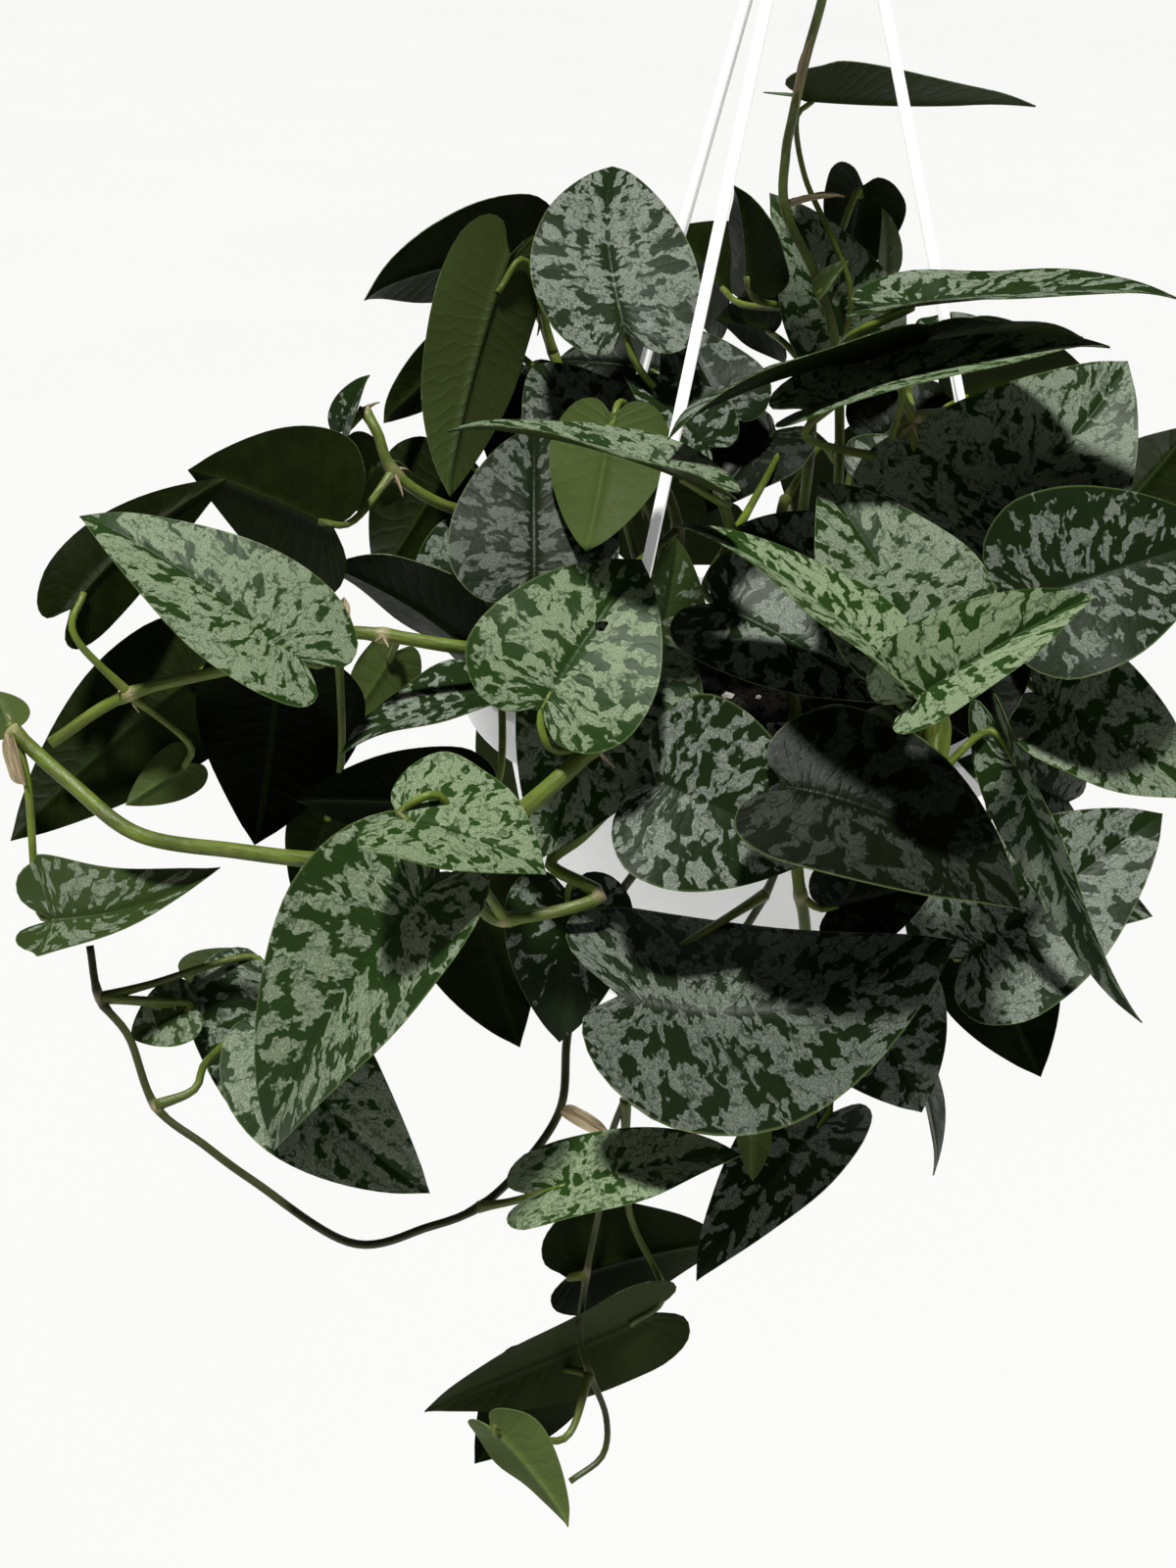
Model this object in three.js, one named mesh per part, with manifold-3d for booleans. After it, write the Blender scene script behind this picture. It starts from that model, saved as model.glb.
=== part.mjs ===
// Satin pothos in a hanging pot: a pot on three rods and a hook, filled with soil, and the vines that
// grow out of it. Millimetres, +Z up. The origin is the point under the hook's top, where it hangs.
import * as THREE from 'three';
import { mergeVertices } from 'three/addons/utils/BufferGeometryUtils.js';
import Module from 'manifold-3d';

const wasm = await Module();
wasm.setup();

// --- Driving dimensions (mm, degrees) ---------------------------------------------------------------

const GAP = 0.3;
const RIM_RADIUS = 87.5;
const FLANGE_THICK = 2.2;
const BAND_DROP = 13;
const BAND_THICK = 2;
const WALL = 2;
const BODY_TOP_RADIUS = 78.5;
const BODY_FOOT_RADIUS = 60;
const POT_DEPTH = 95;
const FOOT_ROUND = 7;
const SOIL_DROP = 13;

const ROD_RADIUS = 1.6;
const ROD_SEAT_RADIUS = 80.4;
const ROD_AZIMUTHS = { hanger_rod_right: 0, hanger_rod_back: 131, hanger_rod_front: 238 };
const APEX_RISE = 256;
const HUB_RADIUS = 11;
const HUB_FOOT_RISE = 230;
const HUB_TOP_RISE = 250;
const SOCKET_RISE = 241;
const KNOB_RADIUS = 2.6;
const KNOB_TALL = 2.2;
const KNOB_SLACK = 0.6;
const ROD_FOOT_RISE = -6;

const HOOK_WIRE_RADIUS = 2.5;
const HOOK_BEND_RADIUS = 14.5;
const HOOK_CENTRE_RISE = 283;
const RIM_Z = -(HOOK_CENTRE_RISE + HOOK_BEND_RADIUS - HOOK_WIRE_RADIUS);

const LEAF_THICK = 0.8;
const PETIOLE_RADIUS = 1.4;
const STEM_STEP = 20;
const STALK_STEP = 24;
const STALK_REACH = 0.1;
const STALK_SINK = 0.8;
const ROOT_DEPTH = 22;
const ROOT_RISE = 7;
const ROOT_POINTS = 3;
const ROOT_SLACK = 1.4;

// The plant is laid out as it is seen from its front, from a little above. A place is (across, up, out):
// millimetres across and up at the rim's centre, and out toward the viewer. Nearer things look larger.
const SIGHT_DISTANCE = 600;
const SIGHT_ELEVATION = 26;
const SIGHT_LEAN = 2.6;
const SIGHT_LEFT_OF_RIM = 49.5;
const SIGHT_BELOW_RIM = 37.5;

// --- Places -----------------------------------------------------------------------------------------

const rad = THREE.MathUtils.degToRad;

function toward(across, up, out) {
  const lean = rad(SIGHT_LEAN);
  const tilt = rad(SIGHT_ELEVATION);
  const x = across * Math.cos(lean) - up * Math.sin(lean);
  const rise = across * Math.sin(lean) + up * Math.cos(lean);
  const y = rise * Math.sin(tilt) - out * Math.cos(tilt);
  const z = rise * Math.cos(tilt) + out * Math.sin(tilt);
  return new THREE.Vector3(x, y, z);
}

function at(across, up, out) {
  const near = (SIGHT_DISTANCE - out) / SIGHT_DISTANCE;
  const u = (across + SIGHT_LEFT_OF_RIM) * near - SIGHT_LEFT_OF_RIM;
  const v = (up + SIGHT_BELOW_RIM) * near - SIGHT_BELOW_RIM;
  return toward(u, v, out).add(new THREE.Vector3(0, 0, RIM_Z));
}

function round(azimuth, radius, rise) {
  const a = rad(azimuth);
  return new THREE.Vector3(radius * Math.cos(a), radius * Math.sin(a), RIM_Z + rise);
}

// --- Solids -----------------------------------------------------------------------------------------

function solid(geometry) {
  const bare = geometry.index ? geometry.toNonIndexed() : geometry.clone();
  bare.deleteAttribute('normal');
  bare.deleteAttribute('uv');
  const merged = mergeVertices(bare, 1e-4);
  const kept = [];
  const index = merged.index.array;
  for (let i = 0; i < index.length; i += 3) {
    const [a, b, c] = [index[i], index[i + 1], index[i + 2]];
    if (a !== b && b !== c && c !== a) kept.push(a, b, c);
  }
  const mesh = new wasm.Mesh({
    numProp: 3,
    vertProperties: new Float32Array(merged.attributes.position.array),
    triVerts: new Uint32Array(kept),
  });
  mesh.merge();
  return new wasm.Manifold(mesh);
}

function geometryOf(manifold) {
  const mesh = manifold.getMesh();
  const geometry = new THREE.BufferGeometry();
  geometry.setAttribute('position', new THREE.BufferAttribute(new Float32Array(mesh.vertProperties), 3));
  geometry.setIndex(new THREE.BufferAttribute(new Uint32Array(mesh.triVerts), 1));
  geometry.computeVertexNormals();
  return geometry;
}

function union(parts) {
  return parts.reduce((sum, part) => sum.add(part));
}

// Fills the small pockets that are sealed in where tubes cross.
function filled(manifold) {
  return union(manifold.decompose().filter((body) => body.volume() > 0));
}

function polygon(radius, sides) {
  const shape = new THREE.Shape();
  for (let i = 0; i < sides; i++) {
    const a = (2 * Math.PI * i) / sides;
    const [x, y] = [radius * Math.cos(a), radius * Math.sin(a)];
    if (i === 0) shape.moveTo(x, y);
    else shape.lineTo(x, y);
  }
  shape.closePath();
  return shape;
}

function runThrough(points) {
  return new THREE.CatmullRomCurve3(points, false, 'catmullrom', 0.5);
}

function tube(points, radius, sides, steps) {
  const extrudePath = runThrough(points);
  return new THREE.ExtrudeGeometry(polygon(radius, sides), { steps, bevelEnabled: false, extrudePath });
}

function turned(profile, segments) {
  const points = profile.map(([r, z]) => new THREE.Vector2(r, z));
  const geometry = new THREE.LatheGeometry(points, segments);
  geometry.rotateX(Math.PI / 2);
  return geometry;
}

function rodBetween(from, to, radius, sides) {
  const extrudePath = new THREE.LineCurve3(from, to);
  return new THREE.ExtrudeGeometry(polygon(radius, sides), { steps: 1, bevelEnabled: false, extrudePath });
}

// --- Leaves -----------------------------------------------------------------------------------------

// One half of the blade: where each rib leaves the midrib, and where it meets the edge (part of the half
// width, part of the length). The lobes reach back behind the point where the petiole joins.
const RIBS = [
  { rib: 0.0, out: 0.62, along: -0.12 },
  { rib: 0.2, out: 1.0, along: 0.1 },
  { rib: 0.2, out: 0.95, along: 0.38 },
  { rib: 0.55, out: 0.71, along: 0.63 },
  { rib: 0.55, out: 0.33, along: 0.85 },
];

// How a leaf may differ from a plain one. fold: degrees that each half rises from the midrib. arch and sway:
// how far the middle rises, and how far it moves aside (parts of the length). wave: the edge's ripple in mm.
// full: below 1 the widest place is nearer the tip, above 1 nearer the base. stalk: the petiole's thickness,
// 1 being the usual. via: places that the petiole passes through.
const PLAIN_FORM = { fold: 10, arch: 0.05, sway: 0, wave: 1.2, full: 1, stalk: 1, via: [] };
const RIPPLES = 7;
const RIPPLE_SHIFT = 2;

function leaf(base, tip, wide, face, foot, form = {}) {
  return { base, tip, wide, face, foot, ...PLAIN_FORM, ...form };
}

function frameOf({ base, tip, face }) {
  const along = tip.clone().sub(base);
  const length = along.length();
  along.normalize();
  const up = face.clone().addScaledVector(along, -face.dot(along)).normalize();
  const side = along.clone().cross(up);
  return { along, up, side, length };
}

function bladePoint(blade, frame, out, share) {
  const y = share > 0 ? share ** blade.full : share;
  const half = (blade.wide / 2) * Math.abs(out);
  const fold = rad(blade.fold);
  const bow = frame.length * 4 * y * (1 - y);
  const wave = blade.wave * out * out * Math.sin(RIPPLES * y + (out > 0 ? 0 : RIPPLE_SHIFT));
  const rise = half * Math.sin(fold) + blade.arch * bow + wave;
  const sway = blade.sway * bow;
  return blade.base
    .clone()
    .addScaledVector(frame.along, frame.length * y)
    .addScaledVector(frame.side, Math.sign(out) * half * Math.cos(fold) + sway)
    .addScaledVector(frame.up, rise);
}

function bladeGeometry(blade) {
  const frame = frameOf(blade);
  const middle = [...new Set([0, ...RIBS.map((r) => r.rib), 1])];
  const points = middle.map((y) => bladePoint(blade, frame, 0, y));
  const midribOf = (y) => middle.indexOf(y);
  const edge = { 1: [0], [-1]: [0] };
  for (const side of [1, -1]) {
    for (const { out, along } of RIBS) {
      edge[side].push(points.length);
      points.push(bladePoint(blade, frame, side * out, along));
    }
    edge[side].push(middle.length - 1);
  }
  const ribStart = [0, ...RIBS.map((r) => midribOf(r.rib)), middle.length - 1];
  const faces = [];
  for (const side of [1, -1]) {
    const rim = edge[side];
    for (let i = 0; i + 1 < rim.length; i++) {
      const [m0, m1, e0, e1] = [ribStart[i], ribStart[i + 1], rim[i], rim[i + 1]];
      if (m0 !== e0 && m0 !== e1) faces.push(side > 0 ? [m0, e0, e1] : [m0, e1, e0]);
      if (m0 !== m1 && m1 !== e1) faces.push(side > 0 ? [m0, e1, m1] : [m0, m1, e1]);
    }
  }
  const count = points.length;
  const half = frame.up.clone().multiplyScalar(LEAF_THICK / 2);
  const upper = points.map((p) => p.clone().add(half));
  const lower = points.map((p) => p.clone().sub(half));
  const index = [];
  for (const [a, b, c] of faces) index.push(a, b, c, a + count, c + count, b + count);
  const loop = [...edge[1], ...edge[-1].slice(1, -1).reverse()];
  for (let i = 0; i < loop.length; i++) {
    const [a, b] = [loop[i], loop[(i + 1) % loop.length]];
    index.push(a, a + count, b + count, a, b + count, b);
  }
  const geometry = new THREE.BufferGeometry().setFromPoints([...upper, ...lower]);
  geometry.setIndex(index);
  return geometry;
}

// The petiole bends in under the blade and ends a little way along the midrib.
const BEND_BACK = 0.25;
const BEND_DROP = 0.18;
const BEND_LAG = 0.4;

function petiolePoints(blade, footPoint) {
  const frame = frameOf(blade);
  const last = blade.via.length ? blade.via[blade.via.length - 1] : footPoint;
  const reach = last.distanceTo(blade.base);
  const bend = blade.base
    .clone()
    .addScaledVector(frame.along, -BEND_BACK * reach)
    .addScaledVector(frame.up, -BEND_DROP * reach)
    .lerp(blade.base.clone().lerp(last, BEND_LAG), 0.5);
  const joint = bladePoint(blade, frame, 0, STALK_REACH).addScaledVector(frame.up, -STALK_SINK);
  return [footPoint, ...blade.via, bend, joint];
}

// --- The vines --------------------------------------------------------------------------------------

// Each vine roots in the soil at (azimuth, radius) and then runs through its places. A leaf has its base,
// its tip, its width, the way that its upper face looks, and the place in the run where its petiole starts.
const VINES = [
  {
    name: 'vine_climber',
    thick: 3.8,
    root: [35, 22],
    run: [at(26, 40, 8), at(27, 90, 20), at(21, 116, 30), at(11, 138, 40), at(11, 155, 46), at(13, 166, 52),
      at(17, 184, 60), at(22, 202, 70), at(26, 222, 82), at(28, 238, 92)],
    leaves: [
      leaf(at(17, 173, 28), at(87.5, 172.5, 10), 43, toward(0, 1, 0.12), 1,
        { fold: 14, arch: -0.02, full: 1.5, wave: 0.6, stalk: 0.8,
          via: [at(31, 112, 14), at(25, 130, 16), at(17, 148, 20)] }),
      leaf(at(21, 113, 36), at(30, 123, 42), 9, toward(-0.5, 0.5, 0.7), 2, { wave: 0 }),
      leaf(at(41, 109, 76), at(131, 114, 94), 38, toward(0, 1, 0.55), 1, { arch: 0.02, stalk: 1.3 }),
    ],
  },
  {
    name: 'vine_crown',
    thick: 4.4,
    root: [70, 40],
    run: [at(18, 60, -6), at(19, 88, 4), at(18, 108, 6), at(24, 120, -6)],
    leaves: [
      leaf(at(32, 92, 2), at(7, 144, 12), 42, toward(0.3, 0.2, 1), 1),
      leaf(at(0, 115, 14), at(-4, 146, 24), 34, toward(0.9, 0.1, -0.45), 2),
      leaf(at(35, 146, -8), at(28, 114, -36), 28, toward(0.2, -0.3, -1), 3),
      leaf(at(42, 119, -14), at(41, 139, -4), 12, toward(0.6, 0, 0.8), 3, { wave: 0, stalk: 0.7 }),
      leaf(at(-6, 112, -24), at(-25, 132, -50), 38, toward(0.2, 0.5, -0.8), 2),
      leaf(at(8, 101, -10), at(-10, 105, -26), 25, toward(0, 0.6, -0.8), 1),
    ],
  },
  {
    name: 'vine_right_top',
    thick: 4.6,
    root: [5, 40],
    run: [at(30, 40, 22), at(42, 62, 40), at(50, 74, 46), at(60, 76, 40)],
    leaves: [
      leaf(at(42, 94, 66), at(-26, 71, 104), 40, toward(-0.1, 1, 0), 1),
      leaf(at(18, 78, 78), at(110, 99, 86), 38, toward(0, 1, 0.56), 1, { arch: 0.03 }),
      leaf(at(48, 95, 62), at(102, 101, 68), 30, toward(0, 1, 0.1), 2),
      leaf(at(56, 96, 8), at(74, 104, -4), 20, toward(0.2, 0.6, 0.8), 2),
      leaf(at(62, 80, 18), at(102, 90, 2), 44, toward(0.2, 0.6, -0.8), 3),
      leaf(at(56, 37, 47), at(116, 93, 43), 66, toward(-0.1, 0.3, 0.95), 2, { sway: 0.09 }),
      leaf(at(38, 68, -10), at(66, 82, -16), 34, toward(0, 0.4, 0.9), 0),
    ],
  },
  {
    name: 'vine_right',
    thick: 4.6,
    root: [340, 50],
    run: [at(58, 10, 30), at(76, 16, 32), at(88, 8, 34), at(94, -8, 34)],
    leaves: [
      leaf(at(84, 19, 70), at(146, 39, 62), 53, toward(0.1, 0.15, 1), 2),
      leaf(at(112, 44, 14), at(136, 72, 6), 38, toward(0.5, 0.3, -0.8), 1),
      leaf(at(88, -9, 48), at(138, -41, 42), 46, toward(0.15, 0.4, 0.9), 2),
      leaf(at(98, -43, 46), at(64, -30, 63), 28, toward(0, 0.2, 0.95), 3),
      leaf(at(66, 4, 62), at(72, -26, 66), 34, toward(0, 0.1, 1), 0),
    ],
  },
  {
    name: 'vine_right_front',
    thick: 5,
    root: [300, 50],
    run: [round(297, 72, 13), round(296, 95, 8), at(56, -36, 84), at(60, -52, 70), at(68, -80, 48),
      at(64, -98, 38)],
    leaves: [
      leaf(at(54, 2, 88), at(22, 56, 76), 50, toward(0.25, 0.25, 0.9), 1),
      leaf(at(46, -3, 110), at(-22, 44, 102), 42, toward(0.45, 0.75, 0.42), 1, { via: [at(50, -8, 76)] }),
      leaf(at(48, -13, 120), at(106, 21, 120), 32, toward(-0.2, 0.4, 0.9), 1.6,
        { fold: 36, via: [at(58, -6, 78), at(50, -4, 104)] }),
      leaf(at(77, -22, 90), at(118, -112, 88), 21, toward(-0.9, 0.1, 0.45), 2, { fold: 22, sway: -0.03 }),
      leaf(at(65, -91, 66), at(127, -46, 58), 50, toward(0.1, 0.35, 0.95), 4),
      leaf(at(80, -70, 36), at(124, -77, 26), 34, toward(0, 0.7, 0.7), 4),
      leaf(at(72, -87, 52), at(89, -127, 54), 36, toward(0.2, -0.1, -1), 4),
      leaf(at(45, -107, 38), at(58, -157, 38), 34, toward(1, 0, 0.35), 5),
    ],
  },
  {
    name: 'vine_front',
    thick: 4.6,
    root: [282, 42],
    run: [round(287, 70, 14), round(288, 96, 8), at(16, -54, 84), at(17, -84, 64), at(15, -112, 48),
      at(18, -130, 38)],
    leaves: [
      leaf(at(11, -38, 105), at(84, -75, 107), 52, toward(0.1, 0.5, 0.85), 1, { sway: -0.06 }),
      leaf(at(33, -101, 60), at(53, -138, 66), 42, toward(0.1, 0.1, 1), 4),
      leaf(at(25, -138, 38), at(-17, -189, 48), 33, toward(-0.6, 0.1, 0.7), 5),
      leaf(at(1, -142, 66), at(1, -159, 68), 10, toward(0.3, 0, -1), 5, { wave: 0, stalk: 0.7 }),
      leaf(at(24, -76, 74), at(57, -68, 73), 27, toward(0, 0.15, 0.95), 2.6),
    ],
  },
  {
    name: 'vine_centre',
    thick: 4.6,
    root: [310, 20],
    run: [at(0, 20, 30), at(-5, 38, 48), at(-10, 54, 62)],
    leaves: [
      leaf(at(-11, 18, 70), at(42, -12, 80), 44, toward(0, 0.5, 0.85), 1),
      leaf(at(34, 22, 50), at(-6, 41, 50), 36, toward(0, 0.3, 0.95), 0),
      leaf(at(-13, 54, 106), at(-92, 73, 102), 40, toward(0.1, 0.95, 0.3), 2),
      leaf(at(36, 54, 22), at(62, 62, 15), 32, toward(0, 0.5, 0.8), 0),
      leaf(at(8, 71, 8), at(-13, 46, 18), 34, toward(-0.3, 0.3, 0.9), 1),
    ],
  },
  {
    name: 'vine_left_front',
    thick: 6,
    root: [235, 40],
    run: [at(-25, 1, 62), at(-48, -26, 98), at(-76, -50, 102), at(-100, -61, 98), at(-129, -61, 92),
      at(-157, -58, 86), at(-187, -53, 80), at(-207, -38, 74), at(-226, -21, 70)],
    leaves: [
      leaf(at(-64, -14, 106), at(-33, 32, 90), 50, toward(0, 0.3, 1), 1, { via: [at(-60, -27, 104)] }),
      leaf(at(-37, 1, 80), at(-64, -60, 85), 48, toward(-0.1, 0.1, 1), 0, { fold: 12 }),
      leaf(at(-108, -47, 114), at(-62, -64, 118), 54, toward(0.1, 0.85, 0.5), 2.5,
        { via: [at(-95, -41, 111)] }),
      leaf(at(-214, -79, 74), at(-163, -62, 82), 36, toward(-0.1, 0.6, 0.8), 8,
        { fold: 26, arch: -0.12, full: 2.1, via: [at(-221, -38, 70)] }),
      leaf(at(-226, -20, 70), at(-231, -9, 66), 13, toward(0.3, 0, -1), 8, { wave: 0 }),
    ],
  },
  {
    name: 'vine_heart',
    thick: 4.8,
    root: [252, 55],
    run: [round(251, 72, 12), round(250, 94, 6), at(-50, -52, 75), at(-61, -62, 77), at(-46, -72, 82),
      at(-75, -79, 84), at(-84, -74, 88)],
    leaves: [
      leaf(at(-96, -66, 108), at(-148, -150, 84), 55, toward(-0.5, 0.2, 0.85), 5, { fold: 20, sway: 0.03 }),
      leaf(at(-85, -68, 64), at(-71, -118, 60), 40, toward(-0.4, 0, -0.9), 5),
      leaf(at(-56, -70, 67), at(-58, -117, 63), 36, toward(0.2, 0, 1), 4),
    ],
  },
  {
    name: 'vine_dangling',
    thick: 3.2,
    root: [266, 35],
    run: [round(263, 70, 16), round(261, 93, 9), at(-46, -80, 58), at(-53, -98, 46), at(-56, -116, 46),
      at(-58, -137, 48), at(-70, -155, 52), at(-83, -167, 56), at(-98, -173, 60), at(-122, -178, 62),
      at(-152, -159, 64), at(-167, -148, 66), at(-182, -136, 66), at(-190, -115, 68), at(-199, -103, 70),
      at(-202, -87, 70)],
    leaves: [
      leaf(at(-147, -94, 52), at(-147, -149, 56), 44, toward(-0.2, 0.1, 1), 14, { via: [at(-184, -99, 62)] }),
      leaf(at(-146, -112, 64), at(-98, -163, 68), 42, toward(0.2, -0.1, 1), 12,
        { sway: 0.06, via: [at(-170, -131, 63), at(-166, -122, 61)] }),
      leaf(at(-171, -106, 58), at(-190, -115, 56), 20, toward(0, 0.4, 0.8), 14, { wave: 0 }),
      leaf(at(-164, -101, 44), at(-155, -88, 38), 26, toward(0, 0.2, -1), 14, { wave: 0 }),
      leaf(at(-67, -163, 62), at(-3, -150, 78), 26, toward(0, 0.65, 0.75), 7, { full: 0.75 }),
    ],
  },
  {
    name: 'vine_bottom',
    thick: 2.8,
    root: [270, 58],
    run: [round(271, 74, 10), round(272, 92, 4), round(271, 92, -30), at(-38, -134, 34), at(-46, -168, 22),
      at(-50, -188, 20), at(-52, -207, 20), at(-49, -218, 22), at(-44, -231, 18), at(-45, -243, 18),
      at(-55, -251, 22)],
    leaves: [
      leaf(at(-56, -188, 14), at(-6, -177, 10), 40, toward(0, 0.4, -0.9), 5),
      leaf(at(-30, -199, 10), at(-100, -228, 18), 37, toward(0, 0.5, -0.85), 3,
        { fold: -18, sway: 0.06, via: [at(-37, -168, 18)] }),
      leaf(at(-62, -219, -4), at(-84, -245, -8), 30, toward(0.3, 0.3, -1), 7),
      leaf(at(-79, -234, 36), at(-55, -264, 34), 24, toward(0.5, 0.3, -0.8), 7, { via: [at(-57, -238, 30)] }),
      leaf(at(-40, -102, 92), at(64, -84, 90), 66, toward(0, 0.45, 0.9), 2,
        { fold: -18, arch: -0.02, sway: 0.12 }),
      leaf(at(-29, -36, 96), at(22, -59, 94), 52, toward(0, 0.1, 1), 1.3),
    ],
  },
  {
    name: 'vine_left_crown',
    thick: 4.4,
    root: [140, 35],
    run: [at(-40, 50, -12), at(-52, 76, -12), at(-60, 94, -8), at(-64, 106, -8)],
    leaves: [
      leaf(at(-66, 123, -24), at(-119, 112, 6), 46, toward(0, 0.8, -0.55), 3, { sway: -0.04 }),
      leaf(at(-74, 124, 10), at(-93, 50, 24), 36, toward(-0.5, 0.2, -0.85), 2, { full: 0.82 }),
      leaf(at(-85, 97, -4), at(-113, 73, 16), 21, toward(-0.4, 0.4, -0.8), 1),
      leaf(at(-69, 91, -14), at(-80, 62, -4), 30, toward(0.2, 0.3, 0.9), 1),
    ],
  },
  {
    name: 'vine_left_top',
    thick: 4.6,
    root: [165, 45],
    run: [at(-50, 40, 2), at(-75, 44, 28), at(-94, 48, 40), at(-109, 58, 44), at(-114, 70, 44),
      at(-118, 77, 42)],
    leaves: [
      leaf(at(-125, 71, 40), at(-117, 88, 44), 17, toward(-0.7, 0.3, 0.6), 5, { wave: 0 }),
      leaf(at(-127, 41, 50), at(-171, 59, 38), 50, toward(0.2, 0.4, -0.9), 3),
      leaf(at(-112, 62, 36), at(-126, 46, 28), 24, toward(0, 0.3, -0.9), 3),
      leaf(at(-92, 59, -2), at(-114, 24, 2), 38, toward(0.1, 0.3, -0.9), 1),
      leaf(at(-80, 34, 15), at(-106, 14, 15), 30, toward(0, 0.4, 0.9), 0.8),
    ],
  },
  {
    name: 'vine_left',
    thick: 5,
    root: [205, 50],
    run: [round(206, 76, 22), at(-81, 4, 60), at(-112, 8, 64), at(-126, 8, 62), at(-154, -1, 52),
      at(-190, -10, 50), at(-214, -25, 50)],
    leaves: [
      leaf(at(-136, 0, 80), at(-205, 46, 74), 42, toward(0.1, 0.6, 0.75), 3),
      leaf(at(-86, 5, 42), at(-129, 30, 38), 44, toward(0.4, 0.9, -0.5), 1),
      leaf(at(-208, 16, 60), at(-160, 56, 44), 25, toward(0, 0.4, -0.9), 5, { sway: 0.05 }),
      leaf(at(-76, -8, 56), at(-126, -27, 62), 36, toward(0, 0.9, 0.4), 1),
      leaf(at(-108, 3, 34), at(-129, -27, 28), 20, toward(0.5, 0.2, -0.8), 2),
      leaf(at(-144, -4, 46), at(-151, -56, 40), 50, toward(0.1, 0.1, -1), 3),
      leaf(at(-165, -1, 34), at(-226, -55, 44), 43, toward(0.2, 0.3, -1), 4, { sway: -0.03 }),
      leaf(at(-171, -31, 36), at(-191, -44, 38), 16, toward(0.3, 0.3, -1), 5, { wave: 0 }),
      leaf(at(-84, -44, 50), at(-139, -42, 46), 32, toward(0, 0.3, -0.9), 0.7),
      leaf(at(-128, -46, 38), at(-140, -70, 38), 22, toward(0, 0, -1), 3),
    ],
  },
  {
    name: 'vine_inner',
    thick: 4.6,
    root: [180, 20],
    run: [at(-22, 40, 6), at(-28, 60, 16), at(-24, 78, 28), at(-20, 90, 30)],
    leaves: [
      leaf(at(-38, 101, 44), at(-42, 153, 12), 48, toward(0, 0.5, 0.9), 2, { sway: -0.05, full: 0.86 }),
      leaf(at(-66, 24, 60), at(-66, 73, 34), 48, toward(0, 0.3, 1), 0),
      leaf(at(-42, 75, 56), at(-50, 33, 68), 34, toward(0.2, 0.1, -1), 1),
      leaf(at(-45, 62, 24), at(-66, 92, 8), 38, toward(0.1, 0.3, 0.9), 1),
      leaf(at(-8, 76, 24), at(-24, 104, 10), 34, toward(0.3, 0.3, 0.9), 1),
      leaf(at(-12, 66, 38), at(-38, 88, 34), 28, toward(0.2, 0.5, 0.8), 1),
      leaf(at(-28, 5, 40), at(-22, 38, 40), 26, toward(0.5, 0.2, 0.8), 0, { via: [at(-32, 8, 22)] }),
      leaf(at(-27, 89, -22), at(-60, 92, -28), 28, toward(0, 0.4, 0.9), 2),
    ],
  },
];

// The far side: vines that lean over the back of the rim, with their leaves in turn to the left and right.
// The leaves hang in tiers, from the top one's rise down.
const BACK_AZIMUTHS = [44, 80, 116];
const BACK_LEAVES = 5;
const BACK_FIRST_FOOT = 0.3;
const BACK_FOOT_STEP = 0.85;
const BACK_TOP_RISE = 34;
const BACK_TIER = 30;
const BACK_LEAF_TALL = 52;
const BACK_LEAF_WIDE = 50;
const BACK_LEAF_RADIUS = 115;

function backVine(azimuth, k) {
  const run = [round(azimuth, 72, 26), round(azimuth, 98, 16), round(azimuth + 4, 103, -18),
    round(azimuth - 3, 99, -58), round(azimuth + 2, 97, -92)];
  const leaves = [];
  for (let i = 0; i < BACK_LEAVES; i++) {
    const side = i % 2 ? 1 : -1;
    const rise = BACK_TOP_RISE - i * BACK_TIER;
    const out = BACK_LEAF_RADIUS + 6 * side;
    const base = round(azimuth + side * 7, out - 3, rise + 6 * ((k + i) % 2));
    const tip = round(azimuth + side * 14, out + 3 - 2 * i, rise - BACK_LEAF_TALL - 5 * (i % 2));
    const face = round(azimuth + side * 10, 1, 0.55).sub(round(0, 0, 0));
    leaves.push(leaf(base, tip, BACK_LEAF_WIDE - 3 * (i % 3), face, BACK_FIRST_FOOT + i * BACK_FOOT_STEP));
  }
  return { name: `vine_back_${k + 1}`, thick: 4.4, root: [azimuth, 50], run, leaves };
}

BACK_AZIMUTHS.forEach((azimuth, k) => VINES.push(backVine(azimuth, k)));

function stemPoints(vine) {
  const [azimuth, radius] = vine.root;
  const foot = round(azimuth, radius, -SOIL_DROP - ROOT_DEPTH + GAP);
  const collar = round(azimuth, radius, -SOIL_DROP - 1);
  const neck = round(azimuth, radius, -SOIL_DROP + ROOT_RISE);
  return [foot, collar, neck, ...vine.run];
}

function nearestOn(rail, point) {
  let nearest = rail[0];
  for (let i = 0; i + 1 < rail.length; i++) {
    const place = new THREE.Line3(rail[i], rail[i + 1]).closestPointToPoint(point, true, new THREE.Vector3());
    if (place.distanceTo(point) < nearest.distanceTo(point)) nearest = place;
  }
  return nearest;
}

function vineSolid(vine) {
  const points = stemPoints(vine);
  const curve = runThrough(points);
  const steps = Math.round(curve.getLength() / STEM_STEP);
  const rail = curve.getSpacedPoints(steps);
  const stem = solid(tube(points, vine.thick / 2, 5, steps));
  const parts = [stem];
  for (const blade of vine.leaves) {
    const footPoint = curve.getPoint((blade.foot + ROOT_POINTS) / (points.length - 1));
    const stalk = petiolePoints(blade, nearestOn(rail, footPoint));
    const length = runThrough(stalk).getLength();
    parts.push(solid(bladeGeometry(blade)));
    const stalkSteps = Math.max(2, Math.round(length / STALK_STEP));
    parts.push(solid(tube(stalk, PETIOLE_RADIUS * blade.stalk, 4, stalkSteps)));
  }
  return filled(union(parts));
}

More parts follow.
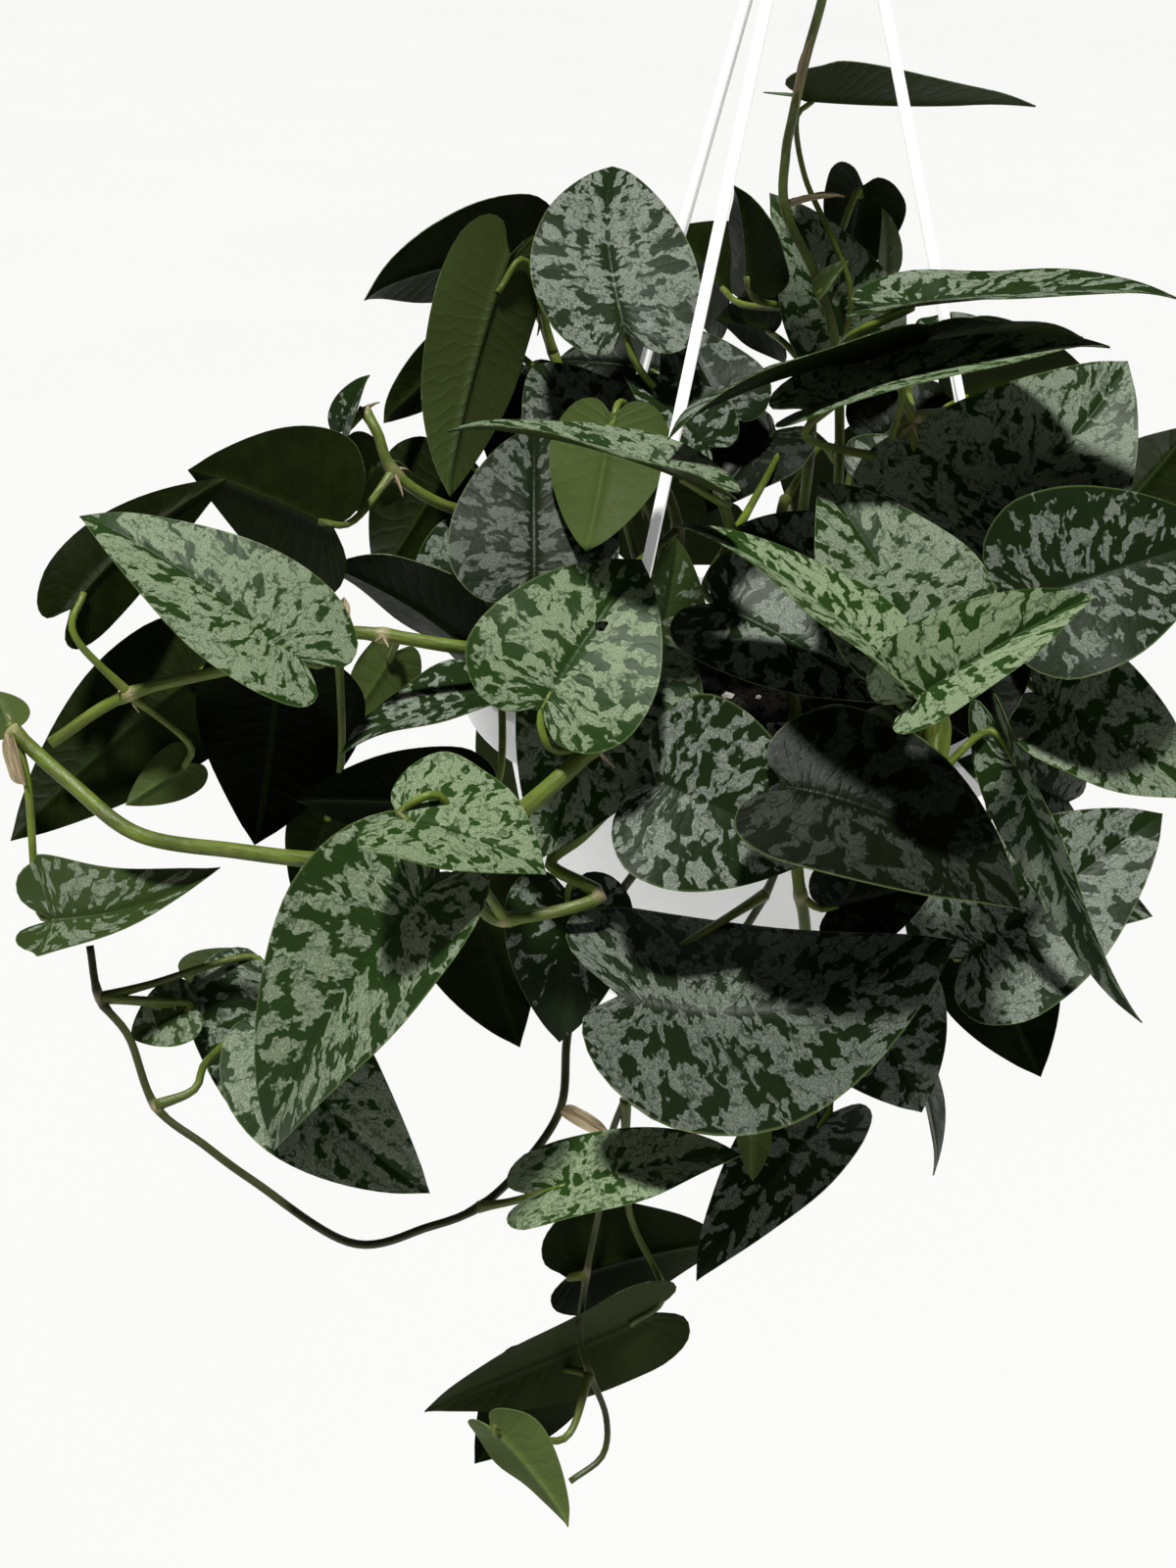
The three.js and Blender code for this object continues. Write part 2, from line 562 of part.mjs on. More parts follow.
// --- Pot, soil and hanger ---------------------------------------------------------------------------

function rodEnds(azimuth) {
  const seat = round(azimuth, ROD_SEAT_RADIUS, 0);
  const apex = round(azimuth, 0, APEX_RISE);
  const along = apex.sub(seat).normalize();
  return { seat, along };
}

function rodPoint({ seat, along }, rise) {
  return seat.clone().addScaledVector(along, rise / along.z);
}

const CHAMFER = 1.2;
const HOLE_REACH = 8;

function potSolid() {
  const foot = -POT_DEPTH;
  const bandInner = RIM_RADIUS - BAND_THICK;
  const innerTop = BODY_TOP_RADIUS - WALL;
  const innerFoot = BODY_FOOT_RADIUS - WALL;
  const profile = [
    [0, foot],
    [BODY_FOOT_RADIUS - FOOT_ROUND, foot],
    [BODY_FOOT_RADIUS - FOOT_ROUND * 0.3, foot + FOOT_ROUND * 0.3],
    [BODY_FOOT_RADIUS + CHAMFER, foot + FOOT_ROUND],
    [BODY_TOP_RADIUS, -FLANGE_THICK],
    [bandInner, -FLANGE_THICK],
    [bandInner, -BAND_DROP],
    [RIM_RADIUS, -BAND_DROP],
    [RIM_RADIUS, -CHAMFER],
    [RIM_RADIUS - CHAMFER, 0],
    [innerTop, 0],
    [innerFoot + 1, foot + FOOT_ROUND + 1],
    [innerFoot - FOOT_ROUND, foot + WALL],
    [0, foot + WALL],
  ];
  let pot = solid(turned(profile, 28).translate(0, 0, RIM_Z));
  for (const azimuth of Object.values(ROD_AZIMUTHS)) {
    const ends = rodEnds(azimuth);
    const hole = rodBetween(rodPoint(ends, -HOLE_REACH), rodPoint(ends, HOLE_REACH), ROD_RADIUS + GAP, 8);
    pot = pot.subtract(solid(hole));
  }
  return pot;
}

function soilSolid() {
  const innerTop = BODY_TOP_RADIUS - WALL - GAP;
  const innerFoot = BODY_FOOT_RADIUS - WALL - GAP;
  const foot = -POT_DEPTH + WALL + GAP;
  const slope = (innerTop - innerFoot - 1) / (POT_DEPTH - FOOT_ROUND - 1);
  const profile = [
    [0, foot],
    [innerFoot - FOOT_ROUND - 0.5, foot],
    [innerFoot + 0.5, -POT_DEPTH + FOOT_ROUND + 1.5],
    [innerTop - slope * SOIL_DROP - 0.2, -SOIL_DROP],
    [0, -SOIL_DROP],
  ];
  let soil = solid(turned(profile, 24).translate(0, 0, RIM_Z));
  for (const { root, thick } of VINES) {
    const [azimuth, radius] = root;
    const top = round(azimuth, radius, -SOIL_DROP + 2);
    const bottom = round(azimuth, radius, -SOIL_DROP - ROOT_DEPTH);
    soil = soil.subtract(solid(rodBetween(bottom, top, thick / 2 + ROOT_SLACK, 6)));
  }
  return soil;
}

function rodSolid(azimuth) {
  const ends = rodEnds(azimuth);
  const shaft = rodBetween(rodPoint(ends, ROD_FOOT_RISE), rodPoint(ends, SOCKET_RISE - GAP), ROD_RADIUS, 8);
  const knobTop = -FLANGE_THICK - GAP - KNOB_SLACK;
  const knob = rodBetween(rodPoint(ends, knobTop - KNOB_TALL), rodPoint(ends, knobTop), KNOB_RADIUS, 8);
  return solid(shaft).add(solid(knob));
}

const HUB_EDGE = 3;
const HOOK_NECK_RISE = 10;
const HOOK_START = -50;
const HOOK_END = 205;
const HOOK_STEP = 15;

function hookSolid() {
  const profile = [
    [0, HUB_FOOT_RISE],
    [HUB_RADIUS - 1, HUB_FOOT_RISE],
    [HUB_RADIUS, HUB_FOOT_RISE + HUB_EDGE],
    [HUB_RADIUS - 2, HUB_TOP_RISE - HUB_EDGE],
    [HUB_RADIUS - 5, HUB_TOP_RISE],
    [0, HUB_TOP_RISE],
  ];
  let hub = solid(turned(profile, 20).translate(0, 0, RIM_Z));
  for (const azimuth of Object.values(ROD_AZIMUTHS)) {
    const ends = rodEnds(azimuth);
    const from = rodPoint(ends, HUB_FOOT_RISE - HUB_EDGE - 1);
    hub = hub.subtract(solid(rodBetween(from, rodPoint(ends, SOCKET_RISE), ROD_RADIUS + GAP, 8)));
  }
  const path = [
    new THREE.Vector3(0, 0, RIM_Z + HUB_TOP_RISE - HUB_EDGE),
    new THREE.Vector3(1, 0, RIM_Z + HUB_TOP_RISE + HOOK_NECK_RISE),
  ];
  for (let a = HOOK_START; a <= HOOK_END; a += HOOK_STEP) {
    const x = HOOK_BEND_RADIUS * Math.cos(rad(a));
    const z = HOOK_BEND_RADIUS * Math.sin(rad(a));
    path.push(new THREE.Vector3(x, 0, RIM_Z + HOOK_CENTRE_RISE + z));
  }
  return hub.add(solid(tube(path, HOOK_WIRE_RADIUS, 7, 16)));
}

// --- The scene graph --------------------------------------------------------------------------------

const FINISH = {
  plastic: { color: 0xe9eae6, roughness: 0.45, metalness: 0 },
  soil: { color: 0x1d1712, roughness: 1, metalness: 0 },
  foliage: { color: 0x5f7f58, roughness: 0.55, metalness: 0 },
};

const group = new THREE.Group();

function place(name, manifold, finish) {
  const mesh = new THREE.Mesh(geometryOf(manifold), new THREE.MeshStandardMaterial(FINISH[finish]));
  mesh.name = name;
  group.add(mesh);
}

place('pot', potSolid(), 'plastic');
place('soil', soilSolid(), 'soil');
place('hanger_hook', hookSolid(), 'plastic');
for (const [name, azimuth] of Object.entries(ROD_AZIMUTHS)) place(name, rodSolid(azimuth), 'plastic');
for (const vine of VINES) place(vine.name, vineSolid(vine), 'foliage');

export default group;
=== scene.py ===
"""Satin pothos in a hanging pot: the pot with its rods and hook, the soil, and the leafy vines."""
import math
import random

import bmesh
import bpy
from bpy.props import FloatProperty, FloatVectorProperty, IntProperty, PointerProperty
from mathutils import Matrix, Vector, noise


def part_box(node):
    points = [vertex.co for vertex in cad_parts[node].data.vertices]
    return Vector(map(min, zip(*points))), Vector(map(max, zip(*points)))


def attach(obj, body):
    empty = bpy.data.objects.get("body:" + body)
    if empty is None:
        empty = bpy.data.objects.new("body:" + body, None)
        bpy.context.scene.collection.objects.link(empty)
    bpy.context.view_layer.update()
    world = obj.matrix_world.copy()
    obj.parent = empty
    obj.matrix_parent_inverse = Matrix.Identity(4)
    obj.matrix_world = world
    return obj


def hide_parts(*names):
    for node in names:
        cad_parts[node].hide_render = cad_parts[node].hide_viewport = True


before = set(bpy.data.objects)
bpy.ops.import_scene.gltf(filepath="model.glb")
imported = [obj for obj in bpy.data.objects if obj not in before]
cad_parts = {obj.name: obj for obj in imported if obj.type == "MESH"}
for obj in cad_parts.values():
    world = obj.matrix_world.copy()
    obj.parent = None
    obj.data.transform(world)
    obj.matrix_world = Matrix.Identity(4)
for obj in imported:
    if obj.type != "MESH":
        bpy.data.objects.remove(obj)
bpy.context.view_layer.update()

bl_info = {
    "name": "Satin pothos",
    "version": (1, 0, 0),
    "blender": (4, 5, 0),
    "location": "View3D > Sidebar > Pothos",
    "description": "A satin pothos with silver-splashed leaves in a hanging pot",
    "category": "Add Mesh",
}

MM = 0.001


def in_mm(corner):
    return Vector(corner) / MM


# --- Sizes (millimetres, degrees) ---------------------------------------------------------------------

POT_LOW, POT_HIGH = (in_mm(corner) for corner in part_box("pot"))
SOIL_LOW, SOIL_HIGH = (in_mm(corner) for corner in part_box("soil"))
RIM_Z = POT_HIGH.z
RIM_RADIUS = POT_HIGH.x
POT_DEPTH = POT_HIGH.z - POT_LOW.z
SOIL_DROP = POT_HIGH.z - SOIL_HIGH.z
RELIEF_ROOM = 1.4
SOIL_TOP = SOIL_HIGH.z - RELIEF_ROOM
SOIL_RINGS = 16
SOIL_CLEARANCE = 0.6
SOIL_EDGE_DROP = 1.5

FLANGE_THICK = 2.2
BAND_DROP = 13
BAND_THICK = 2
WALL = 2
BODY_TOP_RADIUS = 78.5
BODY_FOOT_RADIUS = 60
FOOT_ROUND = 7
WALL_LEAN = 1.2
FOOT_RING = 24
FOOT_HOLLOW = 1.2
HOLLOW_RADIUS = 18
STEP_RADIUS, STEP_RISE = 19.5, 0.3
EDGE_ROUND = 0.8

GAP = 0.3
ROD_RADIUS = 1.6
ROD_CHAMFER = 0.4
ROD_SEAT_RADIUS = 80.4
ROD_AZIMUTHS = {"hanger_rod_right": 0, "hanger_rod_back": 131, "hanger_rod_front": 238}
APEX_RISE = 256
HUB_FOOT_RISE = 230
HUB_TOP_RISE = 250
SOCKET_RISE = 241
KNOB_RADIUS = 2.6
KNOB_TALL = 2.2
KNOB_ROUND = 0.5
KNOB_GAP = 0.9
HOOK_WIRE_RADIUS = 2.5
HOOK_BEND_RADIUS = 14.5
HOOK_CENTRE_RISE = 283
HOOK_START, HOOK_END = -50, 206
HOOK_STEP = 1.5
HOOK_TIP = 2

ROOT_DEPTH = 22
ROOT_RISE = 7
ROOT_POINTS = 3
STEM_STEP = 2.4
STEM_SLIM, STEM_TAPER = 0.86, 0.22
NODE_SWELL, NODE_BULGE = 2.2, 0.2
NODE_RING = 0.9
STALK_REACH = 0.1
STALK_BACK, STALK_DROP = 0.25, 0.18
STALK_SINK, THICK_STALK_SINK = 0.9, 0.3
STALK_RADIUS = 1.15
STALK_FLARE, STALK_TAPER = 0.55, 0.12
STALK_STEP = 2.2
ROOTLET_RADIUS = 0.75
ROOTLET_STEP = 1.2
ROOTLET_RISE = 4
ROOTLET_TAPER = 0.75
SHEATH_THICK = 0.35

# The plant is laid out as it is seen from its front, from a little above. A place is (across, up, out):
# millimetres across and up at the rim's centre, and out toward the viewer. Nearer things look larger.
SIGHT_DISTANCE = 600
SIGHT_ELEVATION = 26
SIGHT_LEAN = 2.6
SIGHT_LEFT_OF_RIM = 49.5
SIGHT_BELOW_RIM = 37.5

# One half of a blade's outline: how far out (a share of the half width), how far along (a share of the
# length), and where on the midrib the rib starts that runs to that place.
HEART = ((0, 0, 0), (0.30, -0.115, 0.03), (0.68, -0.10, 0.06), (0.95, 0.03, 0.10), (1.0, 0.20, 0.17),
         (0.93, 0.38, 0.28), (0.76, 0.56, 0.42), (0.53, 0.73, 0.58), (0.27, 0.88, 0.76), (0.09, 0.96, 0.90),
         (0, 1, 1))
STRAP = ((0, 0, 0), (0.8, 0.12, 0.06), (1.0, 0.4, 0.3), (0.75, 0.75, 0.6), (0, 1, 1))
BLADE_ROWS = 30
BLADE_COLUMNS = 26
COLUMN_CROWDING = 1.35
RIB_SPREAD = 0.6

# A blade's relief: waves along its sides, a groove over the midrib, the rib below it, fine ripples at the
# edge, and a tip that droops by a share of the length.
WAVES, WAVE_OFFSET = 7, 2
GROOVE_DEPTH, GROOVE_WIDTH = 0.45, 1.1
RIB_DEPTH, RIB_WIDTH = 0.55, 0.9
RIPPLE, RIPPLES = 0.22, 13
TIP_DROOP, TIP_START = 0.03, 0.8
EDGE_THINNING = 0.4
MIDRIB_BAND = 2.6

# How finely curves are measured, how near points are merged, and the stage's light.
PATH_SAMPLES = 400
STEM_SAMPLES = 200
MERGE = 1e-4
BLADE_MERGE = 1e-3
SKY_COLOUR = (1.0, 1.0, 0.93)
KEY_COLOUR = (1.0, 0.995, 0.97)
KEY_FROM = (-0.08, 0.80, 0.60)
KEY_SPREAD = 6

# The mesh's layers, and the places in a vine's list of materials.
LAYERS = ("blade", "ribs", "kind")
STEM, DRY = 2, 3

# What the chance draws and the patterns start from: each vine, each leaf, each sheath and the soil.
ROOTLET_DRAWS, SOIL_DRAWS = 1000, 41
STEM_SEED, VINE_SEED, LEAF_SEED, SHEATH_SEED = 7.3, 11.7, 3.1, 50


# --- Places -------------------------------------------------------------------------------------------

def toward(across, up, out):
    lean = math.radians(SIGHT_LEAN)
    tilt = math.radians(SIGHT_ELEVATION)
    x = across * math.cos(lean) - up * math.sin(lean)
    rise = across * math.sin(lean) + up * math.cos(lean)
    y = rise * math.sin(tilt) - out * math.cos(tilt)
    return Vector((x, y, rise * math.cos(tilt) + out * math.sin(tilt)))


def at(across, up, out):
    near = (SIGHT_DISTANCE - out) / SIGHT_DISTANCE
    u = (across + SIGHT_LEFT_OF_RIM) * near - SIGHT_LEFT_OF_RIM
    v = (up + SIGHT_BELOW_RIM) * near - SIGHT_BELOW_RIM
    return toward(u, v, out) + Vector((0, 0, RIM_Z))


def around(azimuth, radius, rise):
    a = math.radians(azimuth)
    return Vector((radius * math.cos(a), radius * math.sin(a), RIM_Z + rise))


# --- The vines ----------------------------------------------------------------------------------------

# A leaf's look: how silver, how young and how sunny it is, the sun being painted light. Below 0 its colours
# take painted shade, as if it lay in the shade of the others, and above 1 a painted highlight, as if it
# caught the light.
PLAIN_LOOK = (0.5, 0, 0.2)
BACK_LOOK = (0.5, 0, 0.4)

# How woody a stem is.
OLD_STEMS = {"vine_dangling": 0.9, "vine_bottom": 0.8, "vine_climber": 0.3}
PLAIN_STEM = 0.15

# Sheaths and stubs: (vine, base, tip, width, the way they face, whether they are still fresh).
SHEATHS = (
    ("vine_climber", (14, 168, 53), (19, 192, 66), 3.4, (-0.5, 0, 1), False),
    ("vine_climber", (11, 140, 40), (29, 143, 36), 3.2, (0, 1, 0.4), False),
    ("vine_right_front", (55, -38, 83), (60, -14, 80), 9, (-0.3, 0, 1), True),
    ("vine_left_front", (-222, -38, 72), (-227, -20, 72), 6, (-0.3, 0, 1), False),
    ("vine_dangling", (-58, -137, 49), (-42, -146, 54), 6, (0, 0.5, 1), False),
    ("vine_left", (-126, 8, 64), (-124, 20, 60), 5, (0.4, 0, 1), False),
)


def point(given):
    """A tuple is (across, up, out), and a vector is in the part's own axes."""
    return at(*given) if isinstance(given, tuple) else given


def heading(given):
    return toward(*given) if isinstance(given, tuple) else given


def leaf(base, tip, wide, face, foot, look=PLAIN_LOOK, **form):
    """A blade from its base to its tip. Its petiole starts at that place of the vine's run."""
    blade = {"base": point(base), "tip": point(tip), "wide": wide, "face": heading(face), "foot": foot}
    plain = {"fold": 10, "arch": 0.05, "sway": 0, "wave": 1.2, "full": 1, "stalk": 1, "outline": HEART}
    via = [point(step) for step in form.get("via", ())]
    return {**blade, **plain, "look": look, "hole": None, **form, "via": via}


def vine(name, thick, root, run, *leaves):
    run = [point(step) for step in run]
    sheaths = [leaf(base, tip, wide, face, 0, BACK_LOOK, fold=35, wave=0.4, outline=STRAP, fresh=fresh)
               for owner, base, tip, wide, face, fresh in SHEATHS if owner == name]
    old = OLD_STEMS.get(name, PLAIN_STEM)
    return {"name": name, "thick": thick, "root": root, "run": run, "leaves": leaves, "sheaths": sheaths,
            "old": old}


# Each vine roots in the soil at (azimuth, radius) and then runs through its places. A leaf has its base,
# its tip, its width, the way that its upper face looks, the place in the run where its petiole starts,
# and its look where that isn't the plain one.
VINES = [
    vine("vine_climber", 3.8, (35, 22),
         [(26, 40, 8), (27, 90, 20), (21, 116, 30), (11, 138, 40), (11, 155, 46), (13, 166, 52),
          (17, 184, 60), (22, 202, 70), (26, 222, 82), (28, 238, 92)],
         leaf((17, 173, 28), (87.5, 172.5, 10), 43, (0, 1, 0.12), 1, (0.5, 0, 0.5), fold=14, arch=-0.02,
              full=1.5, wave=0.6, stalk=0.8, via=[(31, 112, 14), (25, 130, 16), (17, 148, 20)]),
         leaf((21, 113, 36), (30, 123, 42), 9, (-0.5, 0.5, 0.7), 2, (0.3, 0.8, 0.4), wave=0),
         leaf((41, 109, 76), (131, 114, 94), 38, (0, 1, 0.55), 1, (0.5, 0, 0.4), arch=0.02, stalk=1.3)),
    vine("vine_crown", 4.4, (70, 40),
         [(18, 60, -6), (19, 88, 4), (18, 108, 6), (24, 120, -6)],
         leaf((32, 92, 2), (7, 144, 12), 42, (0.3, 0.2, 1), 1, (0.7, 0, 0.5)),
         leaf((0, 115, 14), (-4, 146, 24), 34, (0.9, 0.1, -0.45), 2),
         leaf((35, 146, -8), (28, 114, -36), 28, (0.2, -0.3, -1), 3),
         leaf((42, 119, -14), (41, 139, -4), 12, (0.6, 0, 0.8), 3, (0.3, 0.8, 0.6), wave=0, stalk=0.7),
         leaf((-6, 112, -24), (-25, 132, -50), 38, (0.2, 0.5, -0.8), 2, (0.5, 0, 0.1)),
         leaf((8, 101, -10), (-10, 105, -26), 25, (0, 0.6, -0.8), 1, (0.5, 0, 0.1))),
    vine("vine_right_top", 4.6, (5, 40),
         [(30, 40, 22), (42, 62, 40), (50, 74, 46), (60, 76, 40)],
         leaf((42, 94, 66), (-26, 71, 104), 40, (-0.1, 1, 0), 1),
         leaf((18, 78, 78), (110, 99, 86), 38, (0, 1, 0.56), 1, (0.8, 0, 0.9), arch=0.03),
         leaf((48, 95, 62), (102, 101, 68), 30, (0, 1, 0.1), 2, (0.6, 0, 0.3)),
         leaf((56, 96, 8), (74, 104, -4), 20, (0.2, 0.6, 0.8), 2),
         leaf((62, 80, 18), (102, 90, 2), 44, (0.2, 0.6, -0.8), 3),
         leaf((56, 37, 47), (116, 93, 43), 66, (-0.1, 0.3, 0.95), 2, (0.75, 0, 0.4), sway=0.09),
         leaf((38, 68, -10), (66, 82, -16), 34, (0, 0.4, 0.9), 0, (0.3, 0, -0.7))),
    vine("vine_right", 4.6, (340, 50),
         [(58, 10, 30), (76, 16, 32), (88, 8, 34), (94, -8, 34)],
         leaf((84, 19, 70), (146, 39, 62), 53, (0.1, 0.15, 1), 2, (0.4, 0, -0.25)),
         leaf((112, 44, 14), (136, 72, 6), 38, (0.5, 0.3, -0.8), 1, (0.5, 0, 0)),
         leaf((88, -9, 48), (138, -41, 42), 46, (0.15, 0.4, 0.9), 2, (0.65, 0, 0.5)),
         leaf((98, -43, 46), (64, -30, 63), 28, (0, 0.2, 0.95), 3, (0.6, 0, 0.2)),
         leaf((66, 4, 62), (72, -26, 66), 34, (0, 0.1, 1), 0, (0.2, 0, -0.9))),
    vine("vine_right_front", 5, (300, 50),
         [around(297, 72, 13), around(296, 95, 8), (56, -36, 84), (60, -52, 70), (68, -80, 48),
          (64, -98, 38)],
         leaf((54, 2, 88), (22, 56, 76), 50, (0.25, 0.25, 0.9), 1, (0.7, 0, 0.5)),
         leaf((46, -3, 110), (-22, 44, 102), 42, (0.45, 0.75, 0.42), 1, (0.65, 0, 1.3), via=[(50, -8, 76)]),
         leaf((48, -13, 120), (106, 21, 120), 32, (-0.2, 0.4, 0.9), 1.6, (0.7, 0, 1.3), fold=36,
              via=[(58, -6, 78), (50, -4, 104)]),
         leaf((77, -22, 90), (118, -112, 88), 21, (-0.9, 0.1, 0.45), 2, (0.5, 0, 0.4), fold=22, sway=-0.03),
         leaf((65, -91, 66), (127, -46, 58), 50, (0.1, 0.35, 0.95), 4, (0.7, 0, 0.1)),
         leaf((80, -70, 36), (124, -77, 26), 34, (0, 0.7, 0.7), 4),
         leaf((72, -87, 52), (89, -127, 54), 36, (0.2, -0.1, -1), 4, (0.5, 0, -0.3)),
         leaf((45, -107, 38), (58, -157, 38), 34, (1, 0, 0.35), 5, (0.5, 0.2, 0.2))),
    vine("vine_front", 4.6, (282, 42),
         [around(287, 70, 14), around(288, 96, 8), (16, -54, 84), (17, -84, 64), (15, -112, 48),
          (18, -130, 38)],
         leaf((11, -38, 105), (84, -75, 107), 52, (0.1, 0.5, 0.85), 1, (0.5, 0, -0.8), sway=-0.06),
         leaf((33, -101, 60), (53, -138, 66), 42, (0.1, 0.1, 1), 4, (0.5, 0, 0)),
         leaf((25, -138, 38), (-17, -189, 48), 33, (-0.6, 0.1, 0.7), 5, (0.45, 0, 0)),
         leaf((1, -142, 66), (1, -159, 68), 10, (0.3, 0, -1), 5, (0.3, 0.9, 0.5), wave=0, stalk=0.7),
         leaf((24, -76, 74), (57, -68, 73), 27, (0, 0.15, 0.95), 2.6, (0.3, 0, -0.8))),
    vine("vine_centre", 4.6, (310, 20),
         [(0, 20, 30), (-5, 38, 48), (-10, 54, 62)],
         leaf((-11, 18, 70), (42, -12, 80), 44, (0, 0.5, 0.85), 1, (0.55, 0, -0.1)),
         leaf((34, 22, 50), (-6, 41, 50), 36, (0, 0.3, 0.95), 0, (0.65, 0, 0.2)),
         leaf((-13, 54, 106), (-92, 73, 102), 40, (0.1, 0.95, 0.3), 2, (0.7, 0, 0.6)),
         leaf((36, 54, 22), (62, 62, 15), 32, (0, 0.5, 0.8), 0, (0.45, 0, -0.1)),
         leaf((8, 71, 8), (-13, 46, 18), 34, (-0.3, 0.3, 0.9), 1, (0.3, 0, -0.8))),
    vine("vine_left_front", 6, (235, 40),
         [(-25, 1, 62), (-48, -26, 98), (-76, -50, 102), (-100, -61, 98), (-129, -61, 92), (-157, -58, 86),
          (-187, -53, 80), (-207, -38, 74), (-226, -21, 70)],
         leaf((-64, -14, 106), (-33, 32, 90), 50, (0, 0.3, 1), 1, (0.5, 0, 0.8), via=[(-60, -27, 104)],
              hole=(0.07, 0.53, 1.9)),
         leaf((-37, 1, 80), (-64, -60, 85), 48, (-0.1, 0.1, 1), 0, (0.65, 0, 0.5), fold=12),
         leaf((-108, -47, 114), (-62, -64, 118), 54, (0.1, 0.85, 0.5), 2.5, (0.7, 0, 0.9),
              via=[(-95, -41, 111)]),
         leaf((-214, -79, 74), (-163, -62, 82), 36, (-0.1, 0.6, 0.8), 8, (0.35, 0.3, 0.3), fold=26,
              arch=-0.12, full=2.1, via=[(-221, -38, 70)]),
         leaf((-226, -20, 70), (-231, -9, 66), 13, (0.3, 0, -1), 8, (0.5, 0.6, 0.5), wave=0)),
    vine("vine_heart", 4.8, (252, 55),
         [around(251, 72, 12), around(250, 94, 6), (-50, -52, 75), (-61, -62, 77), (-46, -72, 82),
          (-75, -79, 84), (-84, -74, 88)],
         leaf((-96, -66, 108), (-148, -150, 84), 55, (-0.5, 0.2, 0.85), 5, (0.5, 0, 0.6), fold=20, sway=0.03),
         leaf((-85, -68, 64), (-71, -118, 60), 40, (-0.4, 0, -0.9), 5, (0.5, 0, 0.1)),
         leaf((-56, -70, 67), (-58, -117, 63), 36, (0.2, 0, 1), 4, (0.2, 0, 0))),
    vine("vine_dangling", 3.2, (266, 35),
         [around(263, 70, 16), around(261, 93, 9), (-46, -80, 58), (-53, -98, 46), (-56, -116, 46),
          (-58, -137, 48), (-70, -155, 52), (-83, -167, 56), (-98, -173, 60), (-122, -178, 62),
          (-152, -159, 64), (-167, -148, 66), (-182, -136, 66), (-190, -115, 68), (-199, -103, 70),
          (-202, -87, 70)],
         leaf((-147, -94, 52), (-147, -149, 56), 44, (-0.2, 0.1, 1), 14, (0.6, 0, 0.3),
              via=[(-184, -99, 62)]),
         leaf((-146, -112, 64), (-98, -163, 68), 42, (0.2, -0.1, 1), 12, (0.7, 0, 0.5), sway=0.06,
              via=[(-170, -131, 63), (-166, -122, 61)]),
         leaf((-171, -106, 58), (-190, -115, 56), 20, (0, 0.4, 0.8), 14, (0.5, 0.2, 0.4), wave=0),
         leaf((-164, -101, 44), (-155, -88, 38), 26, (0, 0.2, -1), 14, (0.5, 0.2, 0.3), wave=0),
         leaf((-67, -163, 62), (-3, -150, 78), 26, (0, 0.65, 0.75), 7, (0.7, 0, 0.9), full=0.75)),
    vine("vine_bottom", 2.8, (270, 58),
         [around(271, 74, 10), around(272, 92, 4), around(271, 92, -30), (-38, -134, 34), (-46, -168, 22),
          (-50, -188, 20), (-52, -207, 20), (-49, -218, 22), (-44, -231, 18), (-45, -243, 18),
          (-55, -251, 22)],
         leaf((-56, -188, 14), (-6, -177, 10), 40, (0, 0.4, -0.9), 5, (0.5, 0, 0.3)),
         leaf((-30, -199, 10), (-100, -228, 18), 37, (0, 0.5, -0.85), 3, (0.5, 0, 0.7), fold=-18, sway=0.06,
              via=[(-37, -168, 18)]),
         leaf((-62, -219, -4), (-84, -245, -8), 30, (0.3, 0.3, -1), 7),
         leaf((-79, -234, 36), (-55, -264, 34), 24, (0.5, 0.3, -0.8), 7, (0.3, 0.85, 0.4),
              via=[(-57, -238, 30)]),
         leaf((-40, -102, 92), (64, -84, 90), 66, (0, 0.45, 0.9), 2, (0.55, 0, -0.4), fold=-18, arch=-0.02,
              sway=0.12),
         leaf((-29, -36, 96), (22, -59, 94), 52, (0, 0.1, 1), 1.3, (0.55, 0, 0))),
    vine("vine_left_crown", 4.4, (140, 35),
         [(-40, 50, -12), (-52, 76, -12), (-60, 94, -8), (-64, 106, -8)],
         leaf((-66, 123, -24), (-119, 112, 6), 46, (0, 0.8, -0.55), 3, (0.5, 0, 0.25), sway=-0.04),
         leaf((-74, 124, 10), (-93, 50, 24), 36, (-0.5, 0.2, -0.85), 2, (0.5, 0, 0.85), full=0.82),
         leaf((-85, 97, -4), (-113, 73, 16), 21, (-0.4, 0.4, -0.8), 1, (0.5, 0, 0.1)),
         leaf((-69, 91, -14), (-80, 62, -4), 30, (0.2, 0.3, 0.9), 1, (0.3, 0, -0.7))),
    vine("vine_left_top", 4.6, (165, 45),
         [(-50, 40, 2), (-75, 44, 28), (-94, 48, 40), (-109, 58, 44), (-114, 70, 44), (-118, 77, 42)],
         leaf((-125, 71, 40), (-117, 88, 44), 17, (-0.7, 0.3, 0.6), 5, wave=0),
         leaf((-127, 41, 50), (-171, 59, 38), 50, (0.2, 0.4, -0.9), 3, (0.5, 0, 0.1)),
         leaf((-112, 62, 36), (-126, 46, 28), 24, (0, 0.3, -0.9), 3, (0.3, 0.4, 0.5)),
         leaf((-92, 59, -2), (-114, 24, 2), 38, (0.1, 0.3, -0.9), 1, (0.5, 0, 0)),
         leaf((-80, 34, 15), (-106, 14, 15), 30, (0, 0.4, 0.9), 0.8, (0.5, 0, 0))),
    vine("vine_left", 5, (205, 50),
         [around(206, 76, 22), (-81, 4, 60), (-112, 8, 64), (-126, 8, 62), (-154, -1, 52), (-190, -10, 50),
          (-214, -25, 50)],
         leaf((-136, 0, 80), (-205, 46, 74), 42, (0.1, 0.6, 0.75), 3, (0.72, 0, 0.7)),
         leaf((-86, 5, 42), (-129, 30, 38), 44, (0.4, 0.9, -0.5), 1, (0.5, 0, 0)),
